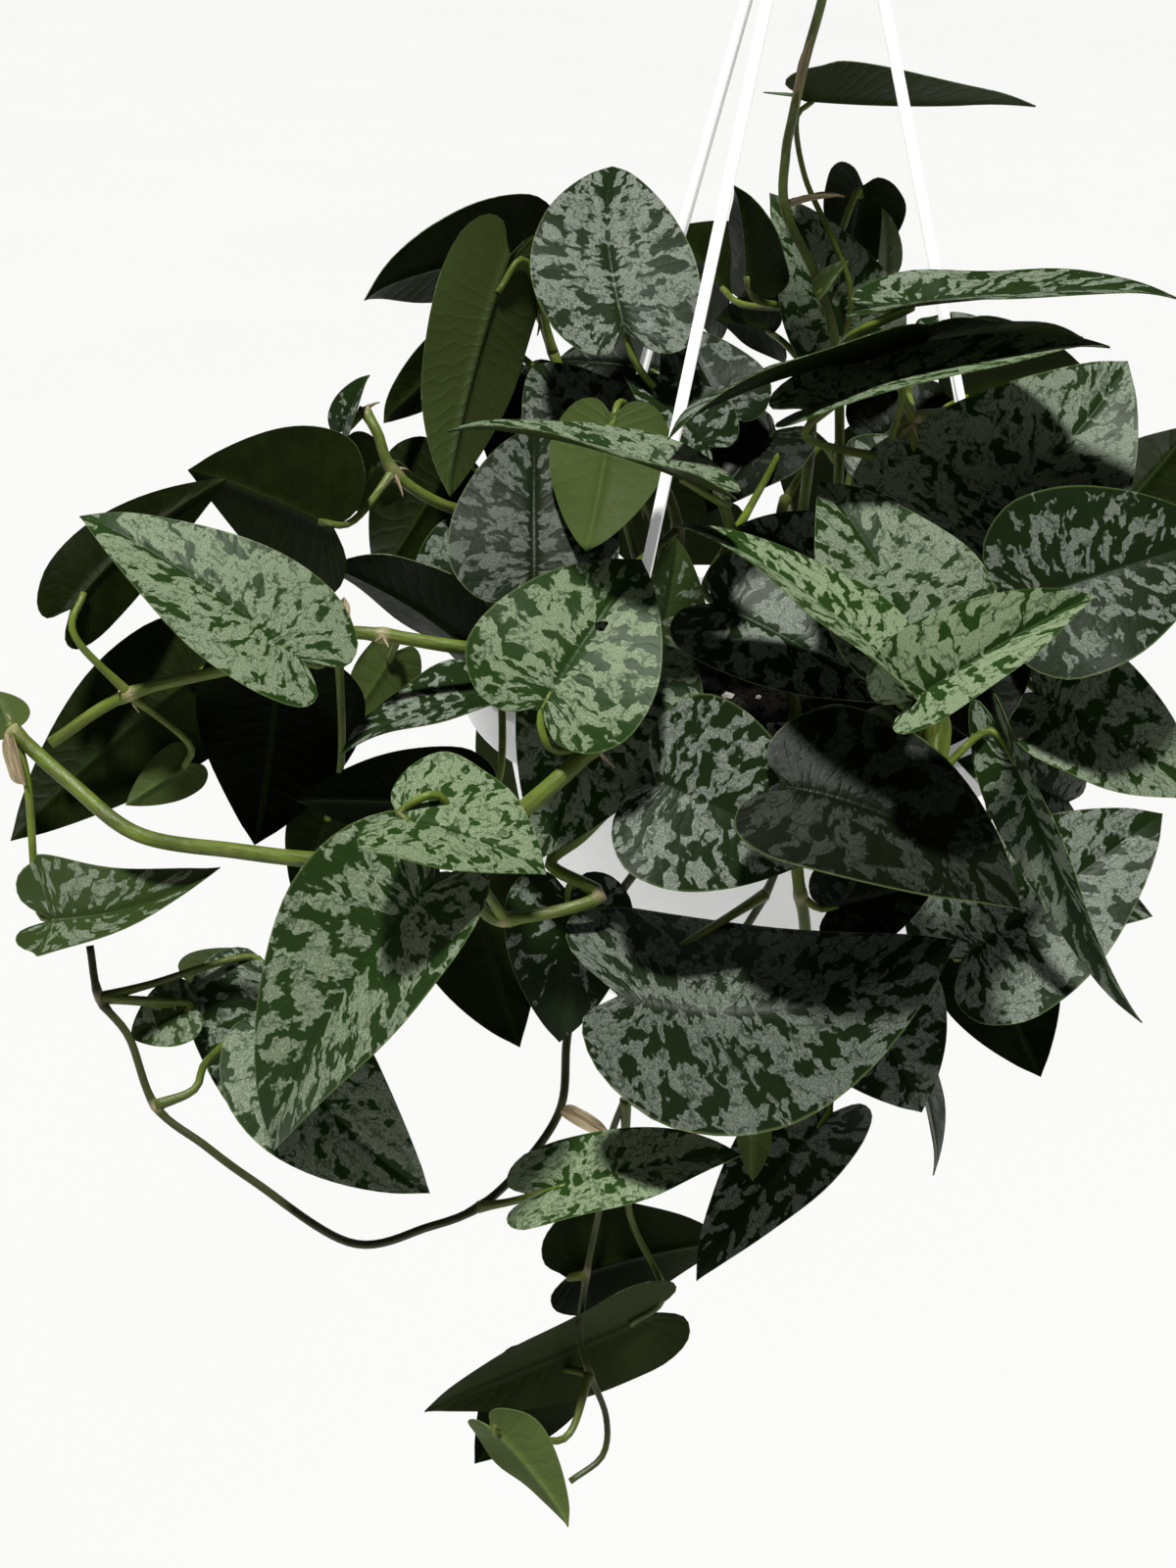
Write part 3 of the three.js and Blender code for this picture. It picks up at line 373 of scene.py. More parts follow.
         leaf((-208, 16, 60), (-160, 56, 44), 25, (0, 0.4, -0.9), 5, (0.5, 0, 0), sway=0.05),
         leaf((-76, -8, 56), (-126, -27, 62), 36, (0, 0.9, 0.4), 1),
         leaf((-108, 3, 34), (-129, -27, 28), 20, (0.5, 0.2, -0.8), 2, (0.3, 0.4, 0.4)),
         leaf((-144, -4, 46), (-151, -56, 40), 50, (0.1, 0.1, -1), 3, (0.5, 0, -0.9)),
         leaf((-165, -1, 34), (-226, -55, 44), 43, (0.2, 0.3, -1), 4, (0.5, 0, 0.1), sway=-0.03),
         leaf((-171, -31, 36), (-191, -44, 38), 16, (0.3, 0.3, -1), 5, (0.3, 0.4, 0.4), wave=0),
         leaf((-84, -44, 50), (-139, -42, 46), 32, (0, 0.3, -0.9), 0.7, (0.5, 0, -0.5)),
         leaf((-128, -46, 38), (-140, -70, 38), 22, (0, 0, -1), 3, (0.5, 0.1, 0.2))),
    vine("vine_inner", 4.6, (180, 20),
         [(-22, 40, 6), (-28, 60, 16), (-24, 78, 28), (-20, 90, 30)],
         leaf((-38, 101, 44), (-42, 153, 12), 48, (0, 0.5, 0.9), 2, (0.6, 0, 0), sway=-0.05, full=0.86),
         leaf((-66, 24, 60), (-66, 73, 34), 48, (0, 0.3, 1), 0, (0.5, 0, -0.5)),
         leaf((-42, 75, 56), (-50, 33, 68), 34, (0.2, 0.1, -1), 1, (0.4, 0.45, 0.5)),
         leaf((-45, 62, 24), (-66, 92, 8), 38, (0.1, 0.3, 0.9), 1, (0.6, 0, -0.4)),
         leaf((-8, 76, 24), (-24, 104, 10), 34, (0.3, 0.3, 0.9), 1, (0.3, 0, -0.4)),
         leaf((-12, 66, 38), (-38, 88, 34), 28, (0.2, 0.5, 0.8), 1, (0.4, 0, 0)),
         leaf((-28, 5, 40), (-22, 38, 40), 26, (0.5, 0.2, 0.8), 0, (0.3, 0.3, 0.2), via=[(-32, 8, 22)]),
         leaf((-27, 89, -22), (-60, 92, -28), 28, (0, 0.4, 0.9), 2, (0.3, 0, -0.7))),
]

# The far side: vines that lean over the back of the rim, with their leaves in turn to the left and right.
BACK_AZIMUTHS = (44, 80, 116)
BACK_LEAVES = 5


def back_vine(azimuth, k):
    run = [around(azimuth, 72, 26), around(azimuth, 98, 16), around(azimuth + 4, 103, -18),
           around(azimuth - 3, 99, -58), around(azimuth + 2, 97, -92)]
    leaves = []
    for i in range(BACK_LEAVES):
        side = 1 if i % 2 else -1
        drop = 34 - i * 30
        base = around(azimuth + side * 7, 112 + 6 * side, drop + 6 * ((k + i) % 2))
        tip = around(azimuth + side * 14, 118 - 2 * i + 6 * side, drop - 52 - 5 * (i % 2))
        face = around(azimuth + side * 10, 1, 0.55) - around(0, 0, 0)
        leaves.append(leaf(base, tip, 50 - 3 * (i % 3), face, 0.3 + i * 0.85, BACK_LOOK))
    return vine(f"vine_back_{k + 1}", 4.4, (azimuth, 50), run, *leaves)


VINES += [back_vine(azimuth, k) for k, azimuth in enumerate(BACK_AZIMUTHS)]


# --- Settings -----------------------------------------------------------------------------------------

def colour(name, about, default):
    return FloatVectorProperty(name=name, description=about, default=default, subtype="COLOR", min=0, max=1)


def size(name, about, default):
    metres = default * MM
    return FloatProperty(name=name, description=about, default=metres, unit="LENGTH", min=0, precision=4)


def share(name, about, default):
    return FloatProperty(name=name, description=about, default=default, subtype="FACTOR", min=0, max=1)


def strength(name, about, default):
    return FloatProperty(name=name, description=about, default=default, min=0)


def number(name, about, default):
    return IntProperty(name=name, description=about, default=default, min=0)


class PothosLeafSettings(bpy.types.PropertyGroup):
    thickness: size("Blade thickness", "Thickness of a leaf's blade away from its midrib", 0.5)
    # The sunny colours are painted light: brighter lit copies of the silver, the green and the underside,
    # which a leaf's look mixes in.
    silver: colour("Silver", "Colour of the satin blotches on a shaded leaf", (0.146, 0.168, 0.138))
    sunny_silver: colour("Sunny silver", "Colour of the blotches in the light", (0.170, 0.218, 0.128))
    green: colour("Green", "Colour of the blade between the blotches", (0.0074, 0.0162, 0.0036))
    sunny_green: colour("Sunny green", "Colour between the blotches in the light", (0.017, 0.045, 0.007))
    underside: colour("Underside", "Colour of the blade's lower face", (0.0056, 0.0096, 0.0015))
    sunny_underside: colour("Sunny underside", "Colour of a lower face in the light", (0.037, 0.053, 0.014))
    young: colour("Young leaf", "Colour of a leaf that has just opened", (0.088, 0.128, 0.034))
    margin: colour("Margin", "Colour of the thin line along the blade's edge", (0.16, 0.23, 0.08))
    satin: share("Satin roughness", "Roughness of the silver blotches", 0.52)


class PothosStemSettings(bpy.types.PropertyGroup):
    stem: colour("Stem", "Colour of the stems and petioles", (0.145, 0.212, 0.024))
    old_stem: colour("Old stem", "Colour of a stem that has turned woody", (0.030, 0.034, 0.012))
    bark: colour("Bark", "Colour of the dry streaks along the stems", (0.22, 0.15, 0.06))
    sheath: colour("Sheath", "Colour of the dry sheaths, stubs and rings at the nodes", (0.42, 0.34, 0.20))
    rootlet: size("Rootlet", "Longest of the short roots at the nodes", 6)


class PothosPotSettings(bpy.types.PropertyGroup):
    plastic: colour("Plastic", "Colour of the pot, its rods and its hook", (0.88, 0.885, 0.875))
    dust: colour("Dust", "Colour of the dust that settles on the plastic", (0.62, 0.62, 0.58))
    lip_round: size("Lip radius", "Radius of the rounded edges of the rim", 0.9)
    gloss: share("Gloss roughness", "Roughness of the clean plastic", 0.38)
    # The glow is painted light: the plastic glows by itself, which brightens its shaded side.
    painted_glow: share("Glow", "How much light the thin wall lets through to its shaded side", 0.22)


class PothosSoilSettings(bpy.types.PropertyGroup):
    # The peat's colour is partly its own dark brown and partly painted shade: it is darkened for the shade of
    # the leaves over the soil.
    peat_and_shade: colour("Peat", "Colour of the damp peat", (0.0035, 0.0025, 0.0018))
    perlite: colour("Perlite", "Colour of the white grains", (0.62, 0.60, 0.55))
    grains: number("Perlite grains", "How many white grains lie on top", 90)
    crumbs: number("Peat crumbs", "How many crumbs lie on top", 700)
    relief: size("Relief", "How much the soil's surface rises and falls", 2.2)


class PothosStageSettings(bpy.types.PropertyGroup):
    floor: colour("Floor", "Colour of the floor", (0.63, 0.632, 0.64))
    floor_drop: size("Floor drop", "How far below the hook the floor lies", 1600)
    lens: FloatProperty(name="Lens", description="Focal length of the camera", default=45, min=1,
                        unit="CAMERA")
    key: strength("Key light", "Strength of the soft key light", 4.8)
    fill: strength("Fill light", "Strength of the light from all round", 0.052)


# --- Curves -------------------------------------------------------------------------------------------

def smooth_point(points, t):
    """The point at t, from 0 to 1, on the smooth curve through the points."""
    place = min(max(t, 0.0), 1.0) * (len(points) - 1)
    i = min(int(place), len(points) - 2)
    w = place - i
    b, c = points[i], points[i + 1]
    a = points[i - 1] if i else 2 * b - c
    d = points[i + 2] if i + 2 < len(points) else 2 * c - b
    cubic = w ** 3 * (3 * b - 3 * c + d - a)
    return 0.5 * (2 * b + w * (c - a) + w * w * (2 * a - 5 * b + 4 * c - d) + cubic)


def even_path(points, step):
    """Points about a step apart along the smooth curve: (centre, side, other side, distance)."""
    fine = [smooth_point(points, k / PATH_SAMPLES) for k in range(PATH_SAMPLES + 1)]
    run = [0.0]
    for a, b in zip(fine, fine[1:]):
        run.append(run[-1] + (b - a).length)
    count = max(2, round(run[-1] / step))
    path, k = [], 0
    for j in range(count + 1):
        goal = run[-1] * j / count
        while k < len(run) - 2 and run[k + 1] < goal:
            k += 1
        w = (goal - run[k]) / max(run[k + 1] - run[k], 1e-9)
        path.append((fine[k].lerp(fine[k + 1], min(max(w, 0), 1)), goal))
    return with_frames(path)


def with_frames(path):
    framed, side = [], None
    for j, (centre, distance) in enumerate(path):
        ahead = path[min(j + 1, len(path) - 1)][0] - path[max(j - 1, 0)][0]
        ahead.normalize()
        if side is None:
            side = ahead.orthogonal().normalized()
        side = (side - ahead * side.dot(ahead)).normalized()
        framed.append((centre, side, ahead.cross(side), distance))
    return framed


def hump(distance, width):
    """A smooth hump, 1 at distance 0 and nearly gone two widths away."""
    return math.exp(-(distance / width) ** 2)


# --- Mesh helpers -------------------------------------------------------------------------------------

def add_layers(bm):
    """The mesh's layers that the plant's materials read."""
    return {name: bm.verts.layers.float_vector.new(name) for name in LAYERS}


def add_object(bm, name, *materials):
    """Puts the mesh in the scene, and frees the bmesh."""
    mesh = bpy.data.meshes.new(name)
    bm.to_mesh(mesh)
    bm.free()
    for material in materials:
        mesh.materials.append(material)
    made = bpy.data.objects.new(name, mesh)
    bpy.context.scene.collection.objects.link(made)
    return made


def finish_piece(bm, name, slot, node, *materials):
    """Turns the mesh, in millimetres, into a piece in metres that stands for that CAD node."""
    bmesh.ops.scale(bm, vec=(MM, MM, MM), verts=bm.verts)
    piece = add_object(bm, name, *materials)
    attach(piece, "root")
    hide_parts(node)


def smooth_faces(faces, material):
    for face in faces:
        face.smooth = True
        face.material_index = material


def faces_of(verts):
    return list({face for vert in verts for face in vert.link_faces})


def tube(bm, layers, path, radius_at, sides, material, seed=0.0, old=0.0, nodes=()):
    """A closed tube round a framed path. radius_at gives its radius at a distance along it."""
    grid = bmesh.ops.create_grid(bm, x_segments=sides, y_segments=len(path) + 1, size=1)["verts"]
    smooth_faces(faces_of(grid), material)
    for vert in grid:
        turn = math.pi * vert.co.x
        row = round((vert.co.y + 1) / 2 * (len(path) + 1))
        centre, side, other, distance = path[min(max(row - 1, 0), len(path) - 1)]
        closed = row in (0, len(path) + 1)
        radius = 0.0 if closed else radius_at(distance)
        vert.co = centre + (side * math.cos(turn) + other * math.sin(turn)) * radius
        vert[layers["blade"]] = (radius * turn, distance, seed)
        ring = sum(hump(distance - node, NODE_RING) for node in nodes)
        vert[layers["kind"]] = (old, min(ring, 1.0), 0)
    bmesh.ops.remove_doubles(bm, verts=grid, dist=MERGE)


def turned(profile, steps):
    """A bmesh of the profile's (radius, height) points spun round the Z axis."""
    bm = bmesh.new()
    verts = [bm.verts.new((r, 0, z)) for r, z in profile]
    edges = [bm.edges.new(pair) for pair in zip(verts, verts[1:])]
    bmesh.ops.spin(bm, geom=verts + edges, axis=(0, 0, 1), cent=(0, 0, 0), dvec=(0, 0, 0),
                   angle=2 * math.pi, steps=steps, use_merge=True)
    bmesh.ops.remove_doubles(bm, verts=bm.verts, dist=MERGE)
    bmesh.ops.recalc_face_normals(bm, faces=bm.faces)
    smooth_faces(bm.faces, 0)
    return bm


def arc(centre_r, centre_z, radius, start, stop, steps=5):
    """Points (r, z) of a round corner of a profile."""
    turns = [math.radians(start + (stop - start) * k / steps) for k in range(steps + 1)]
    return [(centre_r + radius * math.cos(a), centre_z + radius * math.sin(a)) for a in turns]


# --- Leaves -------------------------------------------------------------------------------------------

def blade_frame(blade):
    along = blade["tip"] - blade["base"]
    length = along.length
    along.normalize()
    up = (blade["face"] - along * blade["face"].dot(along)).normalized()
    return along, up, along.cross(up), length


def blade_point(blade, frame_axes, out, y):
    """A place on the blade: out is a share of the half width, to the left or right, and y of the length."""
    along, up, side, length = frame_axes
    y = y ** blade["full"] if y > 0 else y
    half = blade["wide"] / 2 * abs(out)
    fold = math.radians(blade["fold"])
    belly = 4 * y * (1 - y)
    wave = blade["wave"] * out * out * math.sin(WAVES * y + (0 if out > 0 else WAVE_OFFSET))
    rise = half * math.sin(fold) + blade["arch"] * length * belly + wave
    across = math.copysign(half, out) * math.cos(fold) + blade["sway"] * length * belly
    return blade["base"] + along * (length * y) + side * across + up * rise


def rib_rows(outline, half_wide, length):
    """The blade's rows, one to a rib, and how far round the outline each rib ends."""
    points = [Vector(point) for point in outline]
    rows = [smooth_point(points, k / BLADE_ROWS) for k in range(BLADE_ROWS + 1)]
    reach = [0.0]
    for a, b in zip(rows, rows[1:]):
        step = Vector(((b.x - a.x) * half_wide, (b.y - a.y) * length)) * RIB_SPREAD
        reach.append(reach[-1] + step.length)
    return rows, reach


def add_blade(bm, layers, blade, seed, thickness, upper=0, lower=1):
    """A blade with two faces, a groove along its midrib, and the rib standing out below."""
    axes = blade_frame(blade)
    up, length = axes[1], axes[3]
    half_wide = blade["wide"] / 2
    rows, reach = rib_rows(blade["outline"], half_wide, length)
    grid = bmesh.ops.create_grid(bm, x_segments=BLADE_COLUMNS, y_segments=BLADE_ROWS, size=1)["verts"]
    faces = faces_of(grid)
    smooth_faces(faces, upper)
    for vert in grid:
        row = round((vert.co.y + 1) / 2 * BLADE_ROWS)
        share_out = math.copysign(abs(vert.co.x) ** COLUMN_CROWDING, vert.co.x)
        out, end, start = rows[row]
        y = start + (end - start) * abs(share_out)
        across = share_out * out * half_wide
        groove = GROOVE_DEPTH * hump(across, GROOVE_WIDTH) * min(1.0, 4 * (1 - y))
        ripple = RIPPLE * abs(share_out) ** 3 * math.sin(RIPPLES * y + seed) * min(1.0, blade["wave"])
        droop = TIP_DROOP * length * max(0.0, (y - TIP_START) / (1 - TIP_START)) ** 2
        vert.co = blade_point(blade, axes, share_out * out, y) + up * (ripple - groove - droop)
        along_rib = abs(across) + 0.5 * abs(end - start) * length * abs(share_out)
        vert[layers["blade"]] = (across, y * length, seed)
        vert[layers["ribs"]] = (reach[row], along_rib, abs(share_out))
        vert[layers["kind"]] = blade["look"]
    if blade["hole"]:
        out, y, radius = blade["hole"]
        faces = pierce(bm, faces, blade_point(blade, axes, out, y), radius)
    bmesh.ops.remove_doubles(bm, verts=[v for v in grid if v.is_valid], dist=BLADE_MERGE)
    faces = [face for face in faces if face.is_valid]
    copied = bmesh.ops.extrude_face_region(bm, geom=faces, use_keep_orig=True)["geom"]
    below = [item for item in copied if isinstance(item, bmesh.types.BMVert)]
    for vert in below:
        across, y = vert[layers["blade"]][0], vert[layers["blade"]][1] / length
        rib = RIB_DEPTH * hump(across, RIB_WIDTH) * max(0.0, 1 - y) ** 0.7
        vert.co -= up * (thickness * (1 - EDGE_THINNING * vert[layers["ribs"]][2] ** 4) + rib)
    smooth_faces([item for item in copied if isinstance(item, bmesh.types.BMFace)], lower)
    rim = list({face for vert in below for face in vert.link_faces} - set(copied))
    smooth_faces(rim, upper)
    for edge in {edge for face in rim for edge in face.edges}:
        if len(edge.link_faces) == 2 and not all(face in rim for face in edge.link_faces):
            edge.smooth = False
    bmesh.ops.recalc_face_normals(bm, faces=list(set(faces_of(below)) | set(faces)))


def pierce(bm, faces, centre, radius):
    """Makes a round hole in the faces, and returns those that are left."""
    gone = [face for face in faces if (face.calc_center_median() - centre).length < radius]
    kept = [face for face in faces if face not in gone]
    bmesh.ops.delete(bm, geom=gone, context="FACES")
    for vert in {v for face in kept for v in face.verts}:
        if (vert.co - centre).length < 2.2 * radius and vert.is_boundary:
            vert.co = centre + (vert.co - centre).normalized() * radius
    return kept


# --- Stems --------------------------------------------------------------------------------------------

def stalk_points(blade, foot_point):
    """The petiole's way from the stem to a place under the blade's midrib."""
    axes = blade_frame(blade)
    along, up = axes[0], axes[1]
    last = blade["via"][-1] if blade["via"] else foot_point
    reach = (last - blade["base"]).length
    bend = blade["base"] - along * (STALK_BACK * reach) - up * (STALK_DROP * reach)
    bend = bend.lerp(blade["base"].lerp(last, 0.4), 0.5)
    sink = STALK_SINK + THICK_STALK_SINK * blade["stalk"]
    joint = blade_point(blade, axes, 0, STALK_REACH) - up * sink
    return [foot_point, *blade["via"], bend, joint]


def stem_points(plan):
    """The stem's run, from its foot in the soil and its collar there."""
    azimuth, radius = plan["root"]
    rises = (-SOIL_DROP - ROOT_DEPTH, -SOIL_DROP - 1, -SOIL_DROP + ROOT_RISE)
    return [*(around(azimuth, radius, rise) for rise in rises), *plan["run"]]


def stem_distance(points, t):
    """How far along the smooth curve the place t lies."""
    fine = [smooth_point(points, t * k / STEM_SAMPLES) for k in range(STEM_SAMPLES + 1)]
    return sum((b - a).length for a, b in zip(fine, fine[1:]))


def add_rootlets(bm, layers, rng, centre, away, longest, seed):
    """One or two short roots beside a node."""
    for _ in range(rng.choice((1, 1, 2))):
        tip = (away + Vector((rng.uniform(-0.6, 0.6), rng.uniform(-0.6, 0.6), -0.4))).normalized()
        reach = longest * rng.uniform(0.5, 1.0)
        bend = centre + tip * reach * 0.6 + Vector((0, 0, -0.12 * reach))
        end = centre + tip * reach + Vector((rng.uniform(-1, 1), rng.uniform(-1, 1), -0.3 * reach))
        path = even_path([centre, bend, end], ROOTLET_STEP)
        total = path[-1][3]
        tube(bm, layers, path, lambda s: ROOTLET_RADIUS * (1 - ROOTLET_TAPER * s / total), 6, DRY, seed)


def make_vine(plan, index, leaf_settings, stem_settings, materials):
    """One vine: its stem with nodes, and each leaf with its petiole."""
    bm = bmesh.new()
    layers = add_layers(bm)
    rng = random.Random(ROOTLET_DRAWS + index)
    points = stem_points(plan)
    radius = plan["thick"] / 2
    places = [(blade["foot"] + ROOT_POINTS) / (len(points) - 1) for blade in plan["leaves"]]
    nodes = [stem_distance(points, t) for t in places]
    path = even_path(points, STEM_STEP)

    def stem_radius(s):
        swell = sum(hump(s - node, NODE_SWELL) for node in nodes)
        taper = 1 - STEM_TAPER * s / path[-1][3]
        return radius * (STEM_SLIM * taper + NODE_BULGE * min(swell, 1.0))

    tube(bm, layers, path, stem_radius, 12, STEM, index * STEM_SEED, plan["old"], nodes)
    for k, (blade, t) in enumerate(zip(plan["leaves"], places)):
        seed = index * VINE_SEED + k * LEAF_SEED
        foot_point = smooth_point(points, t)
        add_blade(bm, layers, blade, seed, leaf_settings.thickness / MM)
        stalk = even_path(stalk_points(blade, foot_point), STALK_STEP)
        long = stalk[-1][3]
        thick = STALK_RADIUS * blade["stalk"]

        def stalk_radius(s):
            flare = STALK_FLARE * max(0, 1 - 3 * s / long) ** 2
            return thick * (1 + flare - STALK_TAPER * s / long)

        tube(bm, layers, stalk, stalk_radius, 10, STEM, seed, plan["old"] * 0.4)
        away = (foot_point - blade["base"]).normalized()
        if foot_point.z > RIM_Z - SOIL_DROP + ROOTLET_RISE:
            start = foot_point + away * radius * 0.6
            add_rootlets(bm, layers, rng, start, away, stem_settings.rootlet / MM, seed)
    for k, sheath in enumerate(plan["sheaths"]):
        face = STEM if sheath["fresh"] else DRY
        add_blade(bm, layers, sheath, SHEATH_SEED + k, SHEATH_THICK, face, face)
    finish_piece(bm, plan["name"] + "_leafy", "foliage", plan["name"], *materials)


# --- Shader helpers -----------------------------------------------------------------------------------

class Wire:
    """A value that changes over the surface. Sums with wires add Math nodes to their tree."""

    def __init__(self, tree, socket):
        self.tree = tree
        self.socket = socket

    def __add__(self, other):
        return self.math("ADD", self, other)

    def __sub__(self, other):
        return self.math("SUBTRACT", self, other)

    def __rsub__(self, other):
        return self.math("SUBTRACT", other, self)

    def __mul__(self, other):
        return self.math("MULTIPLY", self, other)

    def __truediv__(self, other):
        return self.math("DIVIDE", self, other)

    def __abs__(self):
        return self.math("ABSOLUTE", self)

    def sine(self):
        return self.math("SINE", self)

    def math(self, operation, *values):
        return add_node(self.tree, "Math", "Value", dict(enumerate(values)), operation=operation)


def feed(socket, value):
    """Links a wire to the socket, or sets the socket's own value."""
    if isinstance(value, Wire):
        value.tree.links.new(value.socket, socket)
    else:
        socket.default_value = value


def add_node(tree, kind, output, inputs, **options):
    """A new node with those options and inputs. Its output comes back as a wire."""
    made = tree.nodes.new("ShaderNode" + kind)
    for option, value in options.items():
        setattr(made, option, value)
    for socket, value in inputs.items():
        feed(made.inputs[socket], value)
    return Wire(tree, made.outputs[output])


def ramp(value, low, high, to_low=0.0, to_high=1.0):
    """A smooth step from to_low to to_high, as value goes from low to high."""
    ends = {"Value": value, "From Min": low, "From Max": high, "To Min": to_low, "To Max": to_high}
    return add_node(value.tree, "MapRange", "Result", ends, interpolation_type="SMOOTHSTEP")


def mixed(factor, first, second):
    return add_node(factor.tree, "Mix", 2, {0: factor, 6: first, 7: second}, data_type="RGBA")


def cloud(vector, scale=1.0, detail=2.0, roughness=0.55):
    inputs = {"Vector": vector, "Scale": scale, "Detail": detail, "Roughness": roughness}
    return add_node(vector.tree, "TexNoise", "Fac", inputs)


def stretched(vector, x, y, z=1.0):
    return add_node(vector.tree, "VectorMath", "Vector", {0: vector, 1: (x, y, z)}, operation="MULTIPLY")


def joined(x, y, z):
    return add_node(x.tree, "CombineXYZ", "Vector", {0: x, 1: y, 2: z})


def parts_of(vector):
    made = vector.tree.nodes.new("ShaderNodeSeparateXYZ")
    feed(made.inputs[0], vector)
    return [Wire(vector.tree, output) for output in made.outputs]


def layer(material, name):
    return add_node(material.node_tree, "Attribute", "Vector", {}, attribute_name=name)


def object_place(material):
    return add_node(material.node_tree, "TexCoord", "Object", {})


def rgba(values, times=1.0):
    """A colour, made so many times brighter."""
    return (*(value * times for value in values), 1.0)


def new_material(name, specular):
    material = bpy.data.materials.new(name)
    material.use_nodes = True
    shader_of(material)["Specular IOR Level"].default_value = specular
    return material


def shader_of(material):
    return material.node_tree.nodes["Principled BSDF"].inputs


def finished(material, body, roughness, height=None, depth=0.0):
    """Gives the material its colour, its roughness, and a relief of that depth in metres."""
    shader = shader_of(material)
    feed(shader["Base Color"], body)
    feed(shader["Roughness"], roughness)
    if height:
        relief = {"Distance": depth, "Strength": 1.0, "Height": height}
        feed(shader["Normal"], add_node(height.tree, "Bump", "Normal", relief))
    return material


def effect(name, inputs, outputs):
    """An empty shader node group: its inputs as wires, and its outputs to feed."""
    tree = bpy.data.node_groups.new(name, "ShaderNodeTree")
    for socket, kind, default in inputs:
        made = tree.interface.new_socket(socket, in_out="INPUT", socket_type="NodeSocket" + kind)
        if default is not None:
            made.default_value = default
    for socket in outputs:
        tree.interface.new_socket(socket, in_out="OUTPUT", socket_type="NodeSocketFloat")
    given = tree.nodes.new("NodeGroupInput").outputs
    wires = [Wire(tree, given[socket]) for socket, kind, default in inputs]
    return wires, tree.nodes.new("NodeGroupOutput").inputs


def use_effect(name, **inputs):
    """Places the group beside the wires that feed it. Its outputs come back as wires, by name."""
    tree = next(value.tree for value in inputs.values() if isinstance(value, Wire))
    made = tree.nodes.new("ShaderNodeGroup")
    made.node_tree = bpy.data.node_groups[name]
    for socket, value in inputs.items():
        feed(made.inputs[socket], value)
    return {output.name: Wire(tree, output) for output in made.outputs}


# --- Effects ------------------------------------------------------------------------------------------

def make_vein_effect():
    """Fine side veins along the ribs: Line is 1 on a vein, and Height sinks there."""
    inputs = (("Ribs", "Vector", None), ("Seed", "Float", 0.0), ("Spacing", "Float", 3.4))
    (ribs, seed, spacing), result = effect("side_veins", inputs, ("Line", "Height"))
    reach, run, edge = parts_of(ribs)
    wobble = cloud(joined(reach * 0.16, run * 0.12, seed))
    phase = reach / spacing + wobble * 1.6
    wave = abs((phase * math.pi).sine())
    line = ramp(wave, 0.0, 0.22, 1.0, 0.0)
    feed(result["Line"], line * ramp(edge, 0.8, 0.98, 1.0, 0.0))
    feed(result["Height"], ramp(wave, 0.0, 0.8))


def make_mottle_effect():
    """Soft patches: Mask goes from 0 to 1 where the cloud rises past Low toward High."""
    inputs = (("Vector", "Vector", None), ("Scale", "Float", 1.0), ("Low", "Float", 0.45),
              ("High", "Float", 0.6))
    (vector, scale, low, high), result = effect("mottle", inputs, ("Mask", "Height"))
    patches = cloud(vector, scale, detail=4.0, roughness=0.6)
    feed(result["Mask"], ramp(patches, low, high))
    feed(result["Height"], patches)


def shared_effects():
    if "side_veins" not in bpy.data.node_groups:
        make_vein_effect()
        make_mottle_effect()


# --- Materials ----------------------------------------------------------------------------------------

def satin_pattern(blade, ribs, silver_share):
    """How silver each place is, from 0 to 1, and the fine crumbs that break the blotches' edges."""
    across, _, seed = parts_of(blade)
    reach, run, edge = parts_of(ribs)
    warp = cloud(stretched(blade, 0.22, 0.22))
    patches = cloud(joined(reach * 0.40 + warp * 1.6, run * 0.14, seed), detail=1.6)
    bends = cloud(joined(reach * 0.33 + warp * 1.7, run * 0.15, seed + 3.7))
    islands = cloud(stretched(blade, 0.12, 0.12, 1.7), detail=1.0)
    crumbs = cloud(stretched(blade, 0.8, 0.8))
    field = patches + (crumbs - 0.5) * 0.12 + (islands - 0.5) * 0.25
    middle = ramp(abs(across), 0.3, MIDRIB_BAND, 0.14, 0.0)
    border = ramp(edge, 0.9, 0.98, 0.0, 0.08)
    level = middle + border + (2.12 - silver_share) * 0.3
    channel = abs(bends - 0.5) + (crumbs - 0.5) * 0.16
    silver = ramp(field - level, -0.014, 0.026) * ramp(channel, 0.0, 0.045, 0.35, 1.0)
    return silver, crumbs


